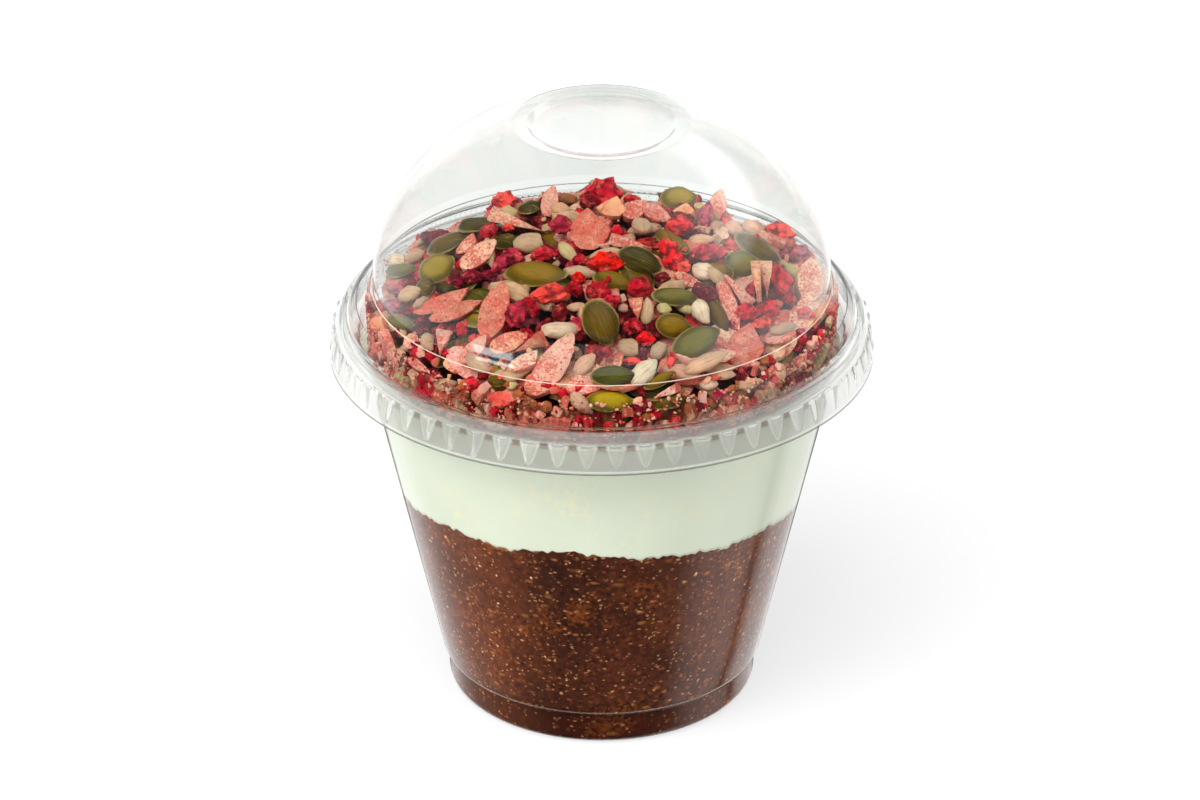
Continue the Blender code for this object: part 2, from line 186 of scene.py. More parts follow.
# Pieces that are picked out in the picture, by kind: colour, middle (pixels across and down), length
# and width in pixels, turn of the length in degrees (rising to the right), and how it lies. It has
# its face to the viewer, or lies flat on the heap, or has its edge to the viewer.
PICKED = {
    "pumpkin_seed": (
        ("dark_olive", 479, 225, 48, 16, 8, "flat"), ("olive", 448, 243, 62, 22, 26, "flat"),
        ("bright_olive", 536, 274, 62, 26, -2, "flat"), ("pale_olive", 437, 268, 40, 28, 30),
        ("grey_olive", 402, 271, 32, 15, 8, "flat"), ("olive", 425, 288, 24, 18, 60),
        ("grey_olive", 402, 323, 36, 20, -10, "flat"), ("pale_olive", 679, 198, 38, 24, 5),
        ("dark_olive", 640, 261, 46, 26, -22), ("bright_olive", 614, 281, 42, 18, -12, "flat"),
        ("grey_olive", 675, 297, 46, 18, -3, "flat"), ("olive", 601, 323, 48, 35, -65),
        ("bright_olive", 674, 326, 36, 24, -8), ("olive", 718, 315, 38, 16, -61),
        ("grey_olive", 696, 342, 52, 30, 28), ("green", 614, 376, 46, 21, 0, "flat"),
        ("bright_olive", 660, 380, 46, 16, 27, "flat"), ("lime", 610, 401, 62, 28, 0),
        ("olive", 670, 403, 48, 15, 13, "flat"), ("olive", 758, 248, 53, 22, -28, "flat"),
        ("grey_olive", 742, 264, 36, 28, 0), ("olive", 498, 381, 28, 15, -5, "flat"),
        ("dark_olive", 506, 242, 32, 18, -10, "flat"), ("dark_olive", 530, 208, 26, 12, 10, "flat"),
    ),
    "almond_flake": (
        ("salmon", 470, 244, 42, 14, 36, "flat"), ("salmon", 479, 255, 44, 20, 42),
        ("pale", 520, 224, 64, 6, -18, "edge"), ("dusty", 449, 301, 72, 15, 18),
        ("dusty", 457, 311, 56, 16, 17), ("dusty", 495, 311, 60, 28, 73),
        ("peach", 509, 342, 52, 24, 22), ("brown", 528, 346, 50, 12, 24, "edge"),
        ("pink", 474, 350, 38, 15, 50), ("pink", 553, 365, 98, 36, 57),
        ("pale", 528, 361, 40, 14, 27, "flat"), ("peach", 455, 367, 32, 16, -25),
        ("pink", 443, 340, 32, 12, 80, "edge"), ("rosy", 592, 228, 46, 38, 60),
        ("pink", 635, 210, 28, 18, 40), ("pink", 656, 214, 38, 18, -20), ("pink", 718, 204, 26, 18, 80),
        ("pink", 550, 202, 30, 17, 75), ("pale_pink", 635, 246, 52, 9, -17, "edge"),
        ("pale_pink", 688, 281, 40, 15, -20), ("peach", 637, 311, 26, 8, -82, "edge"),
        ("peach", 757, 282, 42, 8, -84, "edge"), ("pale_peach", 766, 280, 38, 8, -88, "edge"),
        ("pale_peach", 810, 280, 48, 28, 80), ("pale_pink", 737, 290, 40, 10, -50, "edge"),
        ("pink", 729, 306, 50, 15, -68), ("rosy", 747, 345, 56, 34, 50),
        ("pale_peach", 782, 348, 40, 24, 30), ("pale_pink", 668, 392, 56, 6, 24, "edge"),
        ("coral", 502, 400, 38, 20, -8), ("brown", 449, 397, 42, 10, -22, "edge"),
        ("salmon", 776, 241, 38, 12, -14, "flat"), ("salmon", 412, 341, 26, 18, 70),
        ("salmon", 418, 366, 30, 12, -35), ("pale_peach", 798, 363, 48, 16, 28),
        ("pale_peach", 661, 424, 26, 9, 5), ("pink", 705, 416, 32, 13, 12),
    ),
    "sunflower_kernel": (
        ("white", 398, 260, 22, 14, 0), ("beige", 415, 256, 20, 12, 20, "flat"),
        ("greenish", 509, 213, 17, 15, 0), ("beige", 531, 242, 36, 16, 8, "flat"),
        ("beige", 489, 253, 30, 12, -80), ("beige", 410, 294, 24, 14, 20, "flat"),
        ("grey_beige", 428, 342, 24, 18, -70), ("grey_beige", 478, 364, 28, 16, -35),
        ("greenish", 512, 385, 16, 14, 0), ("beige", 446, 385, 30, 16, 5),
        ("beige", 561, 209, 20, 13, -10), ("brown", 568, 199, 25, 11, -15, "flat"),
        ("greenish", 569, 253, 28, 13, -45), ("beige", 578, 307, 23, 8, 5, "flat"),
        ("pinkish", 624, 308, 16, 12, -10), ("beige", 647, 311, 27, 14, 85),
        ("greenish", 664, 309, 20, 16, -10), ("white", 701, 312, 26, 18, -65),
        ("beige", 706, 362, 47, 16, 25), ("beige", 630, 348, 25, 18, -15),
        ("grey_beige", 659, 349, 27, 18, 55), ("white", 644, 372, 34, 20, 45),
        ("beige", 585, 364, 27, 16, 45), ("white", 705, 272, 27, 18, -15),
        ("beige", 718, 278, 28, 12, -45), ("beige", 726, 375, 33, 12, 8, "flat"),
        ("white", 710, 384, 27, 15, 10, "flat"), ("grey_beige", 783, 328, 28, 12, 15, "flat"),
        ("pinkish", 734, 229, 20, 15, -30), ("pinkish", 702, 240, 26, 12, 5),
        ("pinkish", 754, 230, 26, 11, -25, "flat"), ("beige", 749, 384, 36, 15, 14),
        ("brown", 547, 407, 18, 14, 0),
    ),
    "berry_bit": (
        ("coral", 504, 200, 26, 18, 5), ("purple", 428, 238, 20, 15, -10),
        ("crimson", 490, 231, 21, 17, 0), ("coral", 508, 227, 17, 12, 0),
        ("magenta", 513, 256, 25, 18, 0), ("raspberry", 543, 254, 30, 17, 10),
        ("dark_crimson", 408, 284, 22, 13, 10), ("lilac", 396, 289, 24, 15, 0),
        ("dark_magenta", 455, 281, 20, 16, 0), ("dark_magenta", 472, 276, 22, 17, 0),
        ("dark_magenta", 487, 275, 20, 15, 0), ("magenta", 499, 265, 22, 13, 50),
        ("raspberry", 462, 329, 23, 18, 70), ("purple", 425, 322, 23, 17, -60),
        ("lilac", 393, 305, 26, 17, 0), ("raspberry", 449, 353, 19, 15, 0),
        ("dark_magenta", 434, 372, 22, 11, -25), ("raspberry", 603, 194, 38, 33, 0),
        ("dark_crimson", 588, 203, 22, 21, 0), ("magenta", 563, 224, 28, 21, 0),
        ("raspberry", 617, 230, 14, 12, 0), ("raspberry", 632, 199, 19, 10, -5),
        ("red", 679, 225, 29, 22, 5), ("lilac", 705, 215, 26, 19, 85),
        ("orange_red", 607, 262, 38, 24, 0), ("coral", 649, 243, 32, 14, -10),
        ("red", 671, 254, 35, 24, -70), ("coral", 684, 267, 21, 17, 0),
        ("magenta", 709, 252, 37, 19, 0), ("orange_red", 579, 277, 20, 17, 0),
        ("crimson", 574, 289, 18, 18, 0), ("crimson", 640, 287, 28, 24, 0),
        ("crimson", 598, 290, 27, 21, 0), ("coral", 549, 293, 38, 22, 0),
        ("dark_crimson", 662, 277, 21, 15, 0), ("crimson", 581, 259, 17, 13, 0),
        ("dark_crimson", 559, 314, 22, 18, 80), ("raspberry", 611, 303, 19, 17, 60),
        ("crimson", 633, 326, 20, 18, 0), ("red", 646, 338, 19, 17, 0),
        ("raspberry", 605, 352, 18, 15, 0), ("coral", 631, 361, 27, 12, 0),
        ("coral", 671, 361, 17, 11, 85), ("magenta", 717, 395, 23, 13, 35),
        ("coral", 781, 230, 32, 17, -15), ("lilac", 802, 254, 23, 20, 0),
        ("coral", 732, 245, 21, 13, -20), ("raspberry", 781, 279, 36, 25, -75),
        ("magenta", 751, 289, 23, 18, 80), ("raspberry", 748, 311, 26, 20, 0),
        ("raspberry", 767, 309, 25, 18, 0), ("coral", 762, 322, 26, 16, 10),
        ("crimson", 789, 300, 21, 18, 0), ("coral", 806, 312, 19, 14, 0),
        ("lilac", 802, 333, 19, 15, -30), ("crimson", 765, 361, 27, 19, 15),
        ("magenta", 515, 313, 27, 24, 70), ("crimson", 531, 307, 23, 17, -70),
        ("raspberry", 583, 421, 30, 17, 0), ("red", 608, 425, 13, 11, 0),
    ),
    "fruit_chunk": (
        ("peach", 613, 206, 31, 23, -5), ("peach", 684, 209, 23, 14, 0),
        ("pale_peach", 720, 236, 18, 18, 0),
    ),
}

LOOSE_BELOW = 420
LOOSE_ABOVE = 620
FILL_NIBS = 260
CRUMBS = 300
CRUMBS_RADIUS = 40.6
EDGE_PIECES = 520
WALL_PIECES = 560
WALL_CRUMBS = 2000

# Light: the white floor and the surroundings seen through the plastic are at 1.
AMBIENT = 0.44
AMBIENT_THROUGH_PLASTIC = 0.25
FLOOR_GLOW = 0.7
WINDOW_LEVEL = 9.0
LIGHTS_DISTANCE = 1.2  # metres
LIGHTS_AIM = 70

# Levels that the cup's wall mirrors below the horizon, by azimuth from behind the cup, to the right.
BELOW_LEVELS = ((-95, 0.04), (-66, 0.35), (-36, 1.1), (0, 1.1), (50, 1.15), (57, 0.7), (63, 0.08),
                (69, 0.6), (79, 0.85), (106, 0.75), (126, 0.05))


# Blender by hand: choosing, editing and finishing.


def to_mode(mode):
    bpy.ops.object.mode_set(mode=mode)


def clear_choice():
    if bpy.context.mode != "OBJECT":
        to_mode("OBJECT")
    bpy.ops.object.select_all(action="DESELECT")


def take(*pieces):
    """Chooses these pieces alone, in object mode, the first of them active."""
    clear_choice()
    for piece in pieces:
        piece.select_set(True)
    bpy.context.view_layer.objects.active = pieces[0]


def choose_all():
    bpy.ops.mesh.select_all(action="SELECT")


def new_piece(name):
    """Names the primitive that was just added and opens it for editing, all of it chosen."""
    piece = bpy.context.object
    piece.name = name
    piece.data.name = name
    to_mode("EDIT")
    bpy.ops.mesh.select_mode(type="VERT")
    choose_all()
    return piece


def places(piece):
    """The vertices' places in millimetres, as three rows."""
    flat = np.empty(len(piece.data.vertices) * 3)
    piece.data.vertices.foreach_get("co", flat)
    return flat.reshape(-1, 3).T / MM


def choose(piece, test):
    """Chooses the vertices whose x, y and z in millimetres pass the test, and stays in edit mode."""
    bpy.ops.mesh.select_all(action="DESELECT")
    to_mode("OBJECT")
    piece.data.vertices.foreach_set("select", np.ascontiguousarray(test(*places(piece))))
    to_mode("EDIT")


def stretch(x, y, z):
    bpy.ops.transform.resize(value=(x, y, z), center_override=(0, 0, 0))


def apply_modifier(piece, kind, **settings):
    take(piece)
    modifier = piece.modifiers.new(kind, kind)
    for name, value in settings.items():
        setattr(modifier, name, value)
    bpy.ops.object.modifier_apply(modifier=modifier.name)


def roughen(piece, pattern, size, height, **settings):
    """Displaces the surface by a solid texture whose bumps are size millimetres across."""
    texture = bpy.data.textures.new(piece.name, pattern)
    texture.noise_scale = size * MM
    apply_modifier(piece, "DISPLACE", texture=texture, texture_coords="LOCAL",
                   strength=height * MM, **settings)
    bpy.data.textures.remove(texture)


def smooth_by(piece, degrees):
    take(piece)
    bpy.ops.object.shade_smooth_by_angle(angle=math.radians(degrees))


def draw_outline(name, outline):
    """Extrudes one vertex through (radius, height) points, and leaves the line in edit mode."""
    clear_choice()
    bpy.ops.mesh.primitive_plane_add(size=MM)
    piece = new_piece(name)
    bpy.ops.mesh.merge(type="CENTER")
    bpy.ops.transform.translate(value=(outline[0][0] * MM, 0, outline[0][1] * MM))
    for (r0, z0), (r1, z1) in zip(outline, outline[1:]):
        step = ((r1 - r0) * MM, 0, (z1 - z0) * MM)
        bpy.ops.mesh.extrude_vertices_move(TRANSFORM_OT_translate={"value": step})
    return piece


def turn_outline(name, outline, steps):
    """A turned skin round Z, its doubles merged and its faces turned alike."""
    piece = draw_outline(name, outline)
    choose_all()
    bpy.ops.mesh.spin(steps=steps, angle=math.tau, center=(0, 0, 0), axis=(0, 0, 1))
    choose_all()
    bpy.ops.mesh.remove_doubles(threshold=0.00001)
    bpy.ops.mesh.normals_make_consistent(inside=False)
    to_mode("OBJECT")
    return piece


def thicken_down(piece):
    """Gives an open turned skin the plastic's thickness, below it, where its faces look up."""
    middle = min(piece.data.polygons, key=lambda face: math.hypot(face.center.x, face.center.y))
    if middle.normal.z < 0:
        take(piece)
        to_mode("EDIT")
        choose_all()
        bpy.ops.mesh.flip_normals()
    apply_modifier(piece, "SOLIDIFY", thickness=PLASTIC * MM, offset=-1.0)


def arc(centre, radius, start, end, steps):
    """Points of a round stretch of an outline, between two angles in degrees."""
    points = []
    for step in range(steps + 1):
        angle = math.radians(start + (end - start) * step / steps)
        points.append((centre[0] + radius * math.cos(angle), centre[1] + radius * math.sin(angle)))
    return points


def dress(piece, material, node):
    """Gives the piece its material, hangs it under the root body, and hides the CAD solid that it stands
    for.
    """
    piece.data.materials.clear()
    piece.data.materials.append(material)
    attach(piece, "root")
    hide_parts(node)


# Shader helpers and shared effects.


class Nodes:
    """Adds nodes to one shader tree. Values are numbers, colours or other nodes' sockets."""

    def __init__(self, tree):
        self.tree = tree

    def put(self, kind, values=None, **settings):
        node = self.tree.nodes.new("ShaderNode" + kind)
        for name, value in settings.items():
            setattr(node, name, value)
        for name, value in (values or {}).items():
            self.fill(node, name, value)
        return node

    def fill(self, node, name, value):
        if isinstance(value, bpy.types.NodeSocket):
            self.tree.links.new(value, node.inputs[name])
        else:
            node.inputs[name].default_value = value

    def mixed(self, share, first, second):
        """Mix of two colours."""
        return self.put("Mix", {0: share, 6: first, 7: second}, data_type="RGBA").outputs[2]

    def either(self, share, first, second):
        """Mix of two numbers."""
        return self.put("Mix", {0: share, 2: first, 3: second}, data_type="FLOAT").outputs[0]

    def ranged(self, value, low, high, to_low=0.0, to_high=1.0, kind="SMOOTHSTEP"):
        """A value carried from one range to another."""
        spans = {"Value": value, "From Min": low, "From Max": high, "To Min": to_low, "To Max": to_high}
        return self.put("MapRange", spans, interpolation_type=kind).outputs[0]

    def between(self, value, rise, risen, falling, fallen):
        """1 between two soft edges and 0 outside them."""
        return self.times(self.ranged(value, rise, risen), self.ranged(value, fallen, falling))

    def maths(self, operation, *values):
        return self.put("Math", dict(enumerate(values)), operation=operation).outputs[0]

    def times(self, first, second):
        return self.maths("MULTIPLY", first, second)

    def vector(self, operation, *values):
        return self.put("VectorMath", dict(enumerate(values)), operation=operation).outputs[0]

    def scaled(self, colour, share):
        """A colour made lighter or darker, or a vector made longer or shorter."""
        return self.put("VectorMath", {0: colour, "Scale": share}, operation="SCALE").outputs[0]

    def noise(self, vector, scale, detail=2.0, **more):
        values = {"Vector": vector, "Scale": scale, "Detail": detail, **more}
        return self.put("TexNoise", values).outputs["Fac"]


class Effect(Nodes):
    """An effect that materials share: a node group whose named inputs and outputs are set here."""

    SOCKETS = {"Vector": "NodeSocketVector", "Color": "NodeSocketColor", "Powder": "NodeSocketColor",
               "Speck": "NodeSocketColor"}

    def __init__(self, name, inputs, outputs):
        super().__init__(bpy.data.node_groups.new(name, "ShaderNodeTree"))
        for way, labels in (("INPUT", inputs), ("OUTPUT", outputs)):
            for label in labels.split():
                kind = self.SOCKETS.get(label, "NodeSocketFloat")
                self.tree.interface.new_socket(label, in_out=way, socket_type=kind)
        self.given = self.tree.nodes.new("NodeGroupInput").outputs
        self.result = self.tree.nodes.new("NodeGroupOutput")


def make_mottle():
    """Lighter and darker clouds of the given colour."""
    effect = Effect("mottle", "Color Vector Scale Amount", "Color")
    given = effect.given
    clouds = effect.noise(given["Vector"], given["Scale"], 5.0)
    swing = effect.times(effect.maths("SUBTRACT", clouds, 0.5), given["Amount"])
    level = effect.maths("ADD", effect.times(swing, 3.0), 1.0)
    effect.fill(effect.result, "Color", effect.scaled(given["Color"], level))


def make_powder():
    """Patches of fine powder that lie on a colour."""
    effect = Effect("powder", "Color Powder Vector Scale Cover", "Color Mask")
    given = effect.given
    broad = effect.noise(given["Vector"], given["Scale"], 1.0)
    fine = effect.noise(given["Vector"], effect.times(given["Scale"], 10.0), 3.0)
    both = effect.maths("ADD", effect.times(broad, 0.45), effect.times(fine, 0.55))
    edge = effect.maths("SUBTRACT", 0.69, effect.times(given["Cover"], 0.45))
    mask = effect.ranged(both, edge, effect.maths("ADD", edge, 0.14))
    effect.fill(effect.result, "Color", effect.mixed(mask, given["Color"], given["Powder"]))
    effect.fill(effect.result, "Mask", mask)


def make_specks():
    """Round specks of uneven size, one at most in each cell, over a colour."""
    effect = Effect("specks", "Color Speck Vector Scale Size Share", "Color Mask")
    given = effect.given
    bend = effect.put("TexNoise", {"Vector": given["Vector"], "Scale": given["Scale"]}).outputs["Color"]
    shift = effect.scaled(effect.vector("SUBTRACT", bend, (0.5, 0.5, 0.5)),
                          effect.maths("DIVIDE", 0.6, given["Scale"]))
    bent = effect.vector("ADD", given["Vector"], shift)
    cells = effect.put("TexVoronoi", {"Vector": bent, "Scale": given["Scale"], "Randomness": 1.0}).outputs
    draw = effect.put("SeparateColor", {"Color": cells["Color"]}).outputs
    size = effect.times(given["Size"], effect.ranged(draw[0], 0.0, 1.0, 0.4, 1.0, "LINEAR"))
    body = effect.ranged(cells["Distance"], size, effect.times(size, 0.35))
    kept = effect.ranged(draw[1], given["Share"], effect.maths("SUBTRACT", given["Share"], 0.02))
    mask = effect.times(body, kept)
    shade = effect.scaled(given["Speck"], effect.ranged(draw[2], 0.0, 1.0, 0.55, 1.25, "LINEAR"))
    effect.fill(effect.result, "Color", effect.mixed(mask, given["Color"], shade))
    effect.fill(effect.result, "Mask", mask)


def make_grain():
    """Height of a crumbly, pitted surface, from 0 to 1."""
    effect = Effect("grain", "Vector Scale Pits", "Height")
    given = effect.given
    rough = effect.noise(given["Vector"], given["Scale"], 5.0, Roughness=0.62)
    pits = effect.put("TexVoronoi", {"Vector": given["Vector"], "Scale": given["Scale"]},
                      feature="SMOOTH_F1")
    dips = effect.times(pits.outputs["Distance"], given["Pits"])
    effect.fill(effect.result, "Height", effect.maths("SUBTRACT", rough, dips))


class Skin(Nodes):
    """A material in the making, with its shader and the piece's own coordinates."""

    def __init__(self, name, **sockets):
        self.material = bpy.data.materials.new(name)
        self.material.use_nodes = True
        super().__init__(self.material.node_tree)
        self.shader = self.tree.nodes["Principled BSDF"]
        for label, value in sockets.items():
            self.shader.inputs[label.replace("_", " ")].default_value = value
        self.own = self.put("TexCoord").outputs["Object"]

    def effect(self, name, **values):
        """Outputs of a shared effect, which reads the piece's own coordinates by default."""
        group = bpy.data.node_groups[name]
        return self.put("Group", {"Vector": self.own, **values}, node_tree=group).outputs

    def mottle(self, colour, scale, amount):
        return self.effect("mottle", Color=colour, Scale=scale, Amount=amount)["Color"]

    def powder(self, colour, powder, scale, cover):
        return self.effect("powder", Color=colour, Powder=powder, Scale=scale, Cover=cover)["Color"]

    def specks(self, colour, speck, scale, size, share):
        values = {"Color": colour, "Speck": speck, "Scale": scale, "Size": size, "Share": share}
        return self.effect("specks", **values)["Color"]

    def grain(self, scale, pits):
        return self.effect("grain", Scale=scale, Pits=pits)["Height"]

    def place(self):
        """The piece's own x, y and z."""
        return self.put("SeparateXYZ", {"Vector": self.own}).outputs

    def note(self, name, output="Fac"):
        """A value that the mesh carries: border, edge or tone."""
        return self.put("Attribute", attribute_name=name).outputs[output]

    def tone(self, scale, amount):
        """The piece's own tone, mottled."""
        return self.mottle(self.note("tone", "Color"), scale, amount)

    def mapped(self, vector, **settings):
        return self.put("Mapping", {"Vector": vector, **settings}).outputs[0]

    def streaks(self, x_scale, y_scale):
        """Fine lines along the piece."""
        along = self.mapped(self.put("UVMap").outputs["UV"], Scale=(x_scale, y_scale, 1.0))
        return self.noise(along, 1.0, 3.0)

    def column(self, count):
        """How far it is, as a share of one, from the middle of one of count columns round Z."""
        x, y, _ = self.place()
        turn = self.times(self.maths("ARCTAN2", y, x), count / math.tau)
        return self.maths("ABSOLUTE", self.maths("SUBTRACT", self.maths("FRACT", turn), 0.5))

    def bump(self, height, strength, distance):
        values = {"Height": height, "Strength": strength, "Distance": distance * MM}
        self.fill(self.shader, "Normal", self.put("Bump", values).outputs["Normal"])

    def finish(self, colour, height, roughness, strength, distance):
        """Sets colour, roughness and bump; roughness is ranged from the same height as the bump."""
        self.fill(self.shader, "Base Color", colour)
        self.fill(self.shader, "Roughness", self.ranged(height, *roughness))
        self.bump(height, strength, distance)
        return self.material


def clear_plastic(name, tint, haze, clear=1.0, shade=None, painted_light=None, ior=1.5):
    """Thin clear plastic, faintly uneven, that lets the light through to the food.

    shade is the tint of the light that it lets through, where that isn't its own tint, and the painting
    function, if given, draws painted highlights and painted shade on its colour.
    """
    tint = (*tint, 1.0)
    skin = Skin(name, IOR=ior, Transmission_Weight=clear)
    colour = skin.mottle(tint, 60.0, 0.01)
    if painted_light:
        colour = painted_light(skin, colour)
    # Painted light: where the plastic is mostly milky, its back faces are painted white, so they don't read
    # dark in the shade inside.
    if clear < 0.7:
        behind = skin.put("NewGeometry").outputs["Backfacing"]
        colour = skin.mixed(behind, colour, (1.0, 1.0, 1.0, 1.0))
    skin.fill(skin.shader, "Base Color", colour)
    film = skin.noise(skin.own, 90.0, 3.0)
    skin.fill(skin.shader, "Roughness", skin.ranged(film, 0.3, 0.7, haze * 0.6, haze * 1.4))
    skin.bump(skin.noise(skin.own, 45.0, 1.0), 0.12, 0.6)
    see_through = skin.put("BsdfTransparent", {"Color": (*shade, 1.0) if shade else tint})
    in_shadow = skin.put("LightPath").outputs["Is Shadow Ray"]
    mix = skin.put("MixShader", {0: in_shadow, 1: skin.shader.outputs[0], 2: see_through.outputs[0]})
    skin.fill(skin.tree.nodes["Material Output"], "Surface", mix.outputs[0])
    return skin.material


def flute_painted_light_and_shade(skin, colour):
    """Painted light and shade on the skirt: painted highlights along and inside each moulded flute, painted
    shade in the gaps between the flutes' tops, and a painted highlight line over a painted shadow at the
    skirt's lower edge. All of them are faint at the sides and the back, where the whole skirt is painted
    paler.
    """
    x, y, z = skin.place()

    def rows(rise, risen, falling, fallen):
        return skin.between(z, rise * MM, risen * MM, falling * MM, fallen * MM)

    rise = skin.ranged(z, (FLUTE_POINT + 0.2) * MM, FLUTE_TOP * MM, 0.0, 1.0, "LINEAR")
    half = skin.times(skin.maths("POWER", rise, 0.6), 0.3)
    outside = skin.maths("SUBTRACT", skin.column(FLUTES), half)
    in_rows = rows(FLUTE_POINT - 0.3, FLUTE_POINT + 0.4, FLUTE_TOP + 0.1, FLUTE_TOP + 0.4)
    in_rows = skin.times(in_rows, skin.ranged(skin.noise(skin.own, 70.0), 0.38, 0.62, 0.15, 1.0))
    # Painted shade: darker gaps between the flutes' tops.
    painted_shade_gap = skin.times(skin.ranged(outside, 0.04, 0.12),
                     rows(FLUTE_TOP - 1.3, FLUTE_TOP - 0.5, FLUTE_TOP + 0.05, FLUTE_TOP + 0.25))
    colour = skin.mixed(skin.times(painted_shade_gap, 0.7), colour, (0.3, 0.22, 0.17, 1.0))
    # Painted light: the flutes' faces are painted paler, and their outlines get painted highlight lines.
    inner = skin.times(skin.ranged(outside, 0.06, -0.2), in_rows)
    colour = skin.mixed(skin.times(inner, 0.36), colour, (0.97, 0.98, 0.97, 1.0))
    line = skin.ranged(skin.maths("ABSOLUTE", outside), 0.09, 0.0)
    line = skin.times(line, skin.times(in_rows, 0.5))
    colour = skin.mixed(line, colour, (1.0, 1.0, 1.0, 1.0))
    # Painted light at the sides and the back: the whole skirt is made paler there, so its front keeps its
    # darker tint as painted shade.
    sides = skin.ranged(skin.maths("ABSOLUTE", x), 30.0 * MM, 45.0 * MM, 0.0, 0.75)
    back = skin.ranged(y, 5.0 * MM, 25.0 * MM, 0.0, 0.75)
    colour = skin.mixed(skin.maths("MAXIMUM", sides, back), colour, (0.95, 0.95, 0.93, 1.0))
    # A painted highlight line just above the skirt's lower edge, and a painted shadow along the edge
    # itself.
    painted_highlight_above_edge = rows(SKIRT_BOTTOM + 0.25, SKIRT_BOTTOM + 0.4, SKIRT_BOTTOM + 0.6, SKIRT_BOTTOM + 0.8)
    colour = skin.mixed(skin.times(painted_highlight_above_edge, 0.7), colour, (1.0, 1.0, 1.0, 1.0))
    edge = skin.ranged(z, (SKIRT_BOTTOM + 0.28) * MM, (SKIRT_BOTTOM + 0.12) * MM, 0.0, 0.75)
    edge = skin.times(edge, skin.ranged(back, 0.0, 0.75, 1.0, 0.45))
    return skin.mixed(edge, colour, (0.22, 0.24, 0.2, 1.0))


def rib_painted_shade(skin, colour):
    """Painted shade: darker tan lines between the fine ribs of the ledge, fainter at the back."""
    drift = skin.ranged(skin.noise(skin.own, 60.0), 0.4, 0.6, 0.25, 0.8)
    line = skin.times(skin.ranged(skin.column(FLUTES * STEPS_PER_FLUTE / 2), 0.1, 0.28), drift)
    line = skin.times(line, skin.ranged(skin.place()[1], 5.0 * MM, 25.0 * MM, 1.0, 0.35))
    return skin.mixed(line, colour, (0.62, 0.5, 0.42, 1.0))


def pudding_material():
    """Dark chocolate pudding full of swollen seeds: soft dark ones, tan ovals and pale dots.

    Towards both sides it is painted redder and lighter, painted light with a painted warm sheen, and it is
    deep brown in the foot.
    """
    skin = Skin("dark_chia_pudding", Specular_IOR_Level=0.12, IOR=1.4, Sheen_Weight=0.4,
                Sheen_Roughness=0.35, Sheen_Tint=paint(236, 176, 140))
    x, _, height = skin.place()
    sides = skin.ranged(skin.maths("ABSOLUTE", x), 5.0 * MM, 29.0 * MM)
    low = skin.ranged(height, 9.0 * MM, 6.5 * MM)
    colour = skin.mottle(skin.mixed(low, paint(77, 36, 20), paint(60, 17, 2)), 75.0, 0.8)
    colour = skin.mottle(skin.powder(colour, paint(122, 62, 22), 120.0, 0.36), 900.0, 0.9)
    slanted = skin.mapped(skin.own, Rotation=(0.6, 0.4, 0.9), Scale=(1.0, 0.55, 1.0))
    tipped = skin.mapped(skin.own, Rotation=(-0.7, 0.9, 0.2), Scale=(0.5, 1.0, 1.0))
    mask = None
    for speck, vector, scale, size, share in (
            (paint(52, 20, 13), skin.own, 700.0, 0.5, 0.42),
            (paint(122, 68, 38), slanted, 760.0, 0.52, 0.6),
            (paint(156, 96, 50), tipped, 640.0, 0.42, 0.42),
            (paint(182, 126, 82), skin.own, 940.0, 0.4, 0.5),
            (paint(206, 150, 104), tipped, 1250.0, 0.4, 0.3),
            (paint(216, 156, 94), slanted, 500.0, 0.25, 0.36),
            (paint(240, 200, 152), skin.own, 640.0, 0.25, 0.24)):
        laid = skin.effect("specks", Color=colour, Speck=speck, Vector=vector, Scale=scale, Size=size,
                           Share=share)
        colour = laid["Color"]
        mask = laid["Mask"] if mask is None else skin.maths("MAXIMUM", mask, laid["Mask"])
    colour = skin.mixed(skin.times(low, 0.5), colour, paint(58, 18, 3))
    # Painted light: both sides are made lighter, then warmed by a painted sheen.
    lit = skin.scaled(colour, skin.ranged(sides, 0.0, 1.0, 1.0, 1.65, "LINEAR"))
    colour = skin.mixed(skin.ranged(sides, 0.0, 1.0, 0.0, 0.25, "LINEAR"), lit, paint(172, 118, 92))
    thin = skin.times(skin.ranged(skin.note("border"), 0.84, 0.97),
                      skin.ranged(skin.noise(skin.own, 160.0), 0.5, 0.68))
    colour = skin.mixed(skin.times(thin, 0.7), colour, paint(196, 124, 66))
    return skin.finish(colour, mask, (0.0, 1.0, 0.42, 0.3), 0.4, 0.25)


def cream_material():
    """Smooth pale cream with a faint grain, and a painted shadow: greyer and darker along its lower edge,
    where it meets the pudding.
    """
    skin = Skin("pale_cream", Specular_IOR_Level=0.2, IOR=1.4)
    colour = skin.powder(skin.mottle(paint(231, 237, 220), 45.0, 0.05), paint(238, 238, 212), 70.0, 0.3)
    # Painted shadow: the cream turns greyer and darker just above the pudding.
    colour = skin.mixed(skin.ranged(skin.note("border"), 0.7, 1.0, 0.0, 0.6), colour, paint(182, 182, 156))
    return skin.finish(colour, skin.grain(160.0, 0.3), (0.2, 0.8, 0.3, 0.45), 0.12, 0.3)


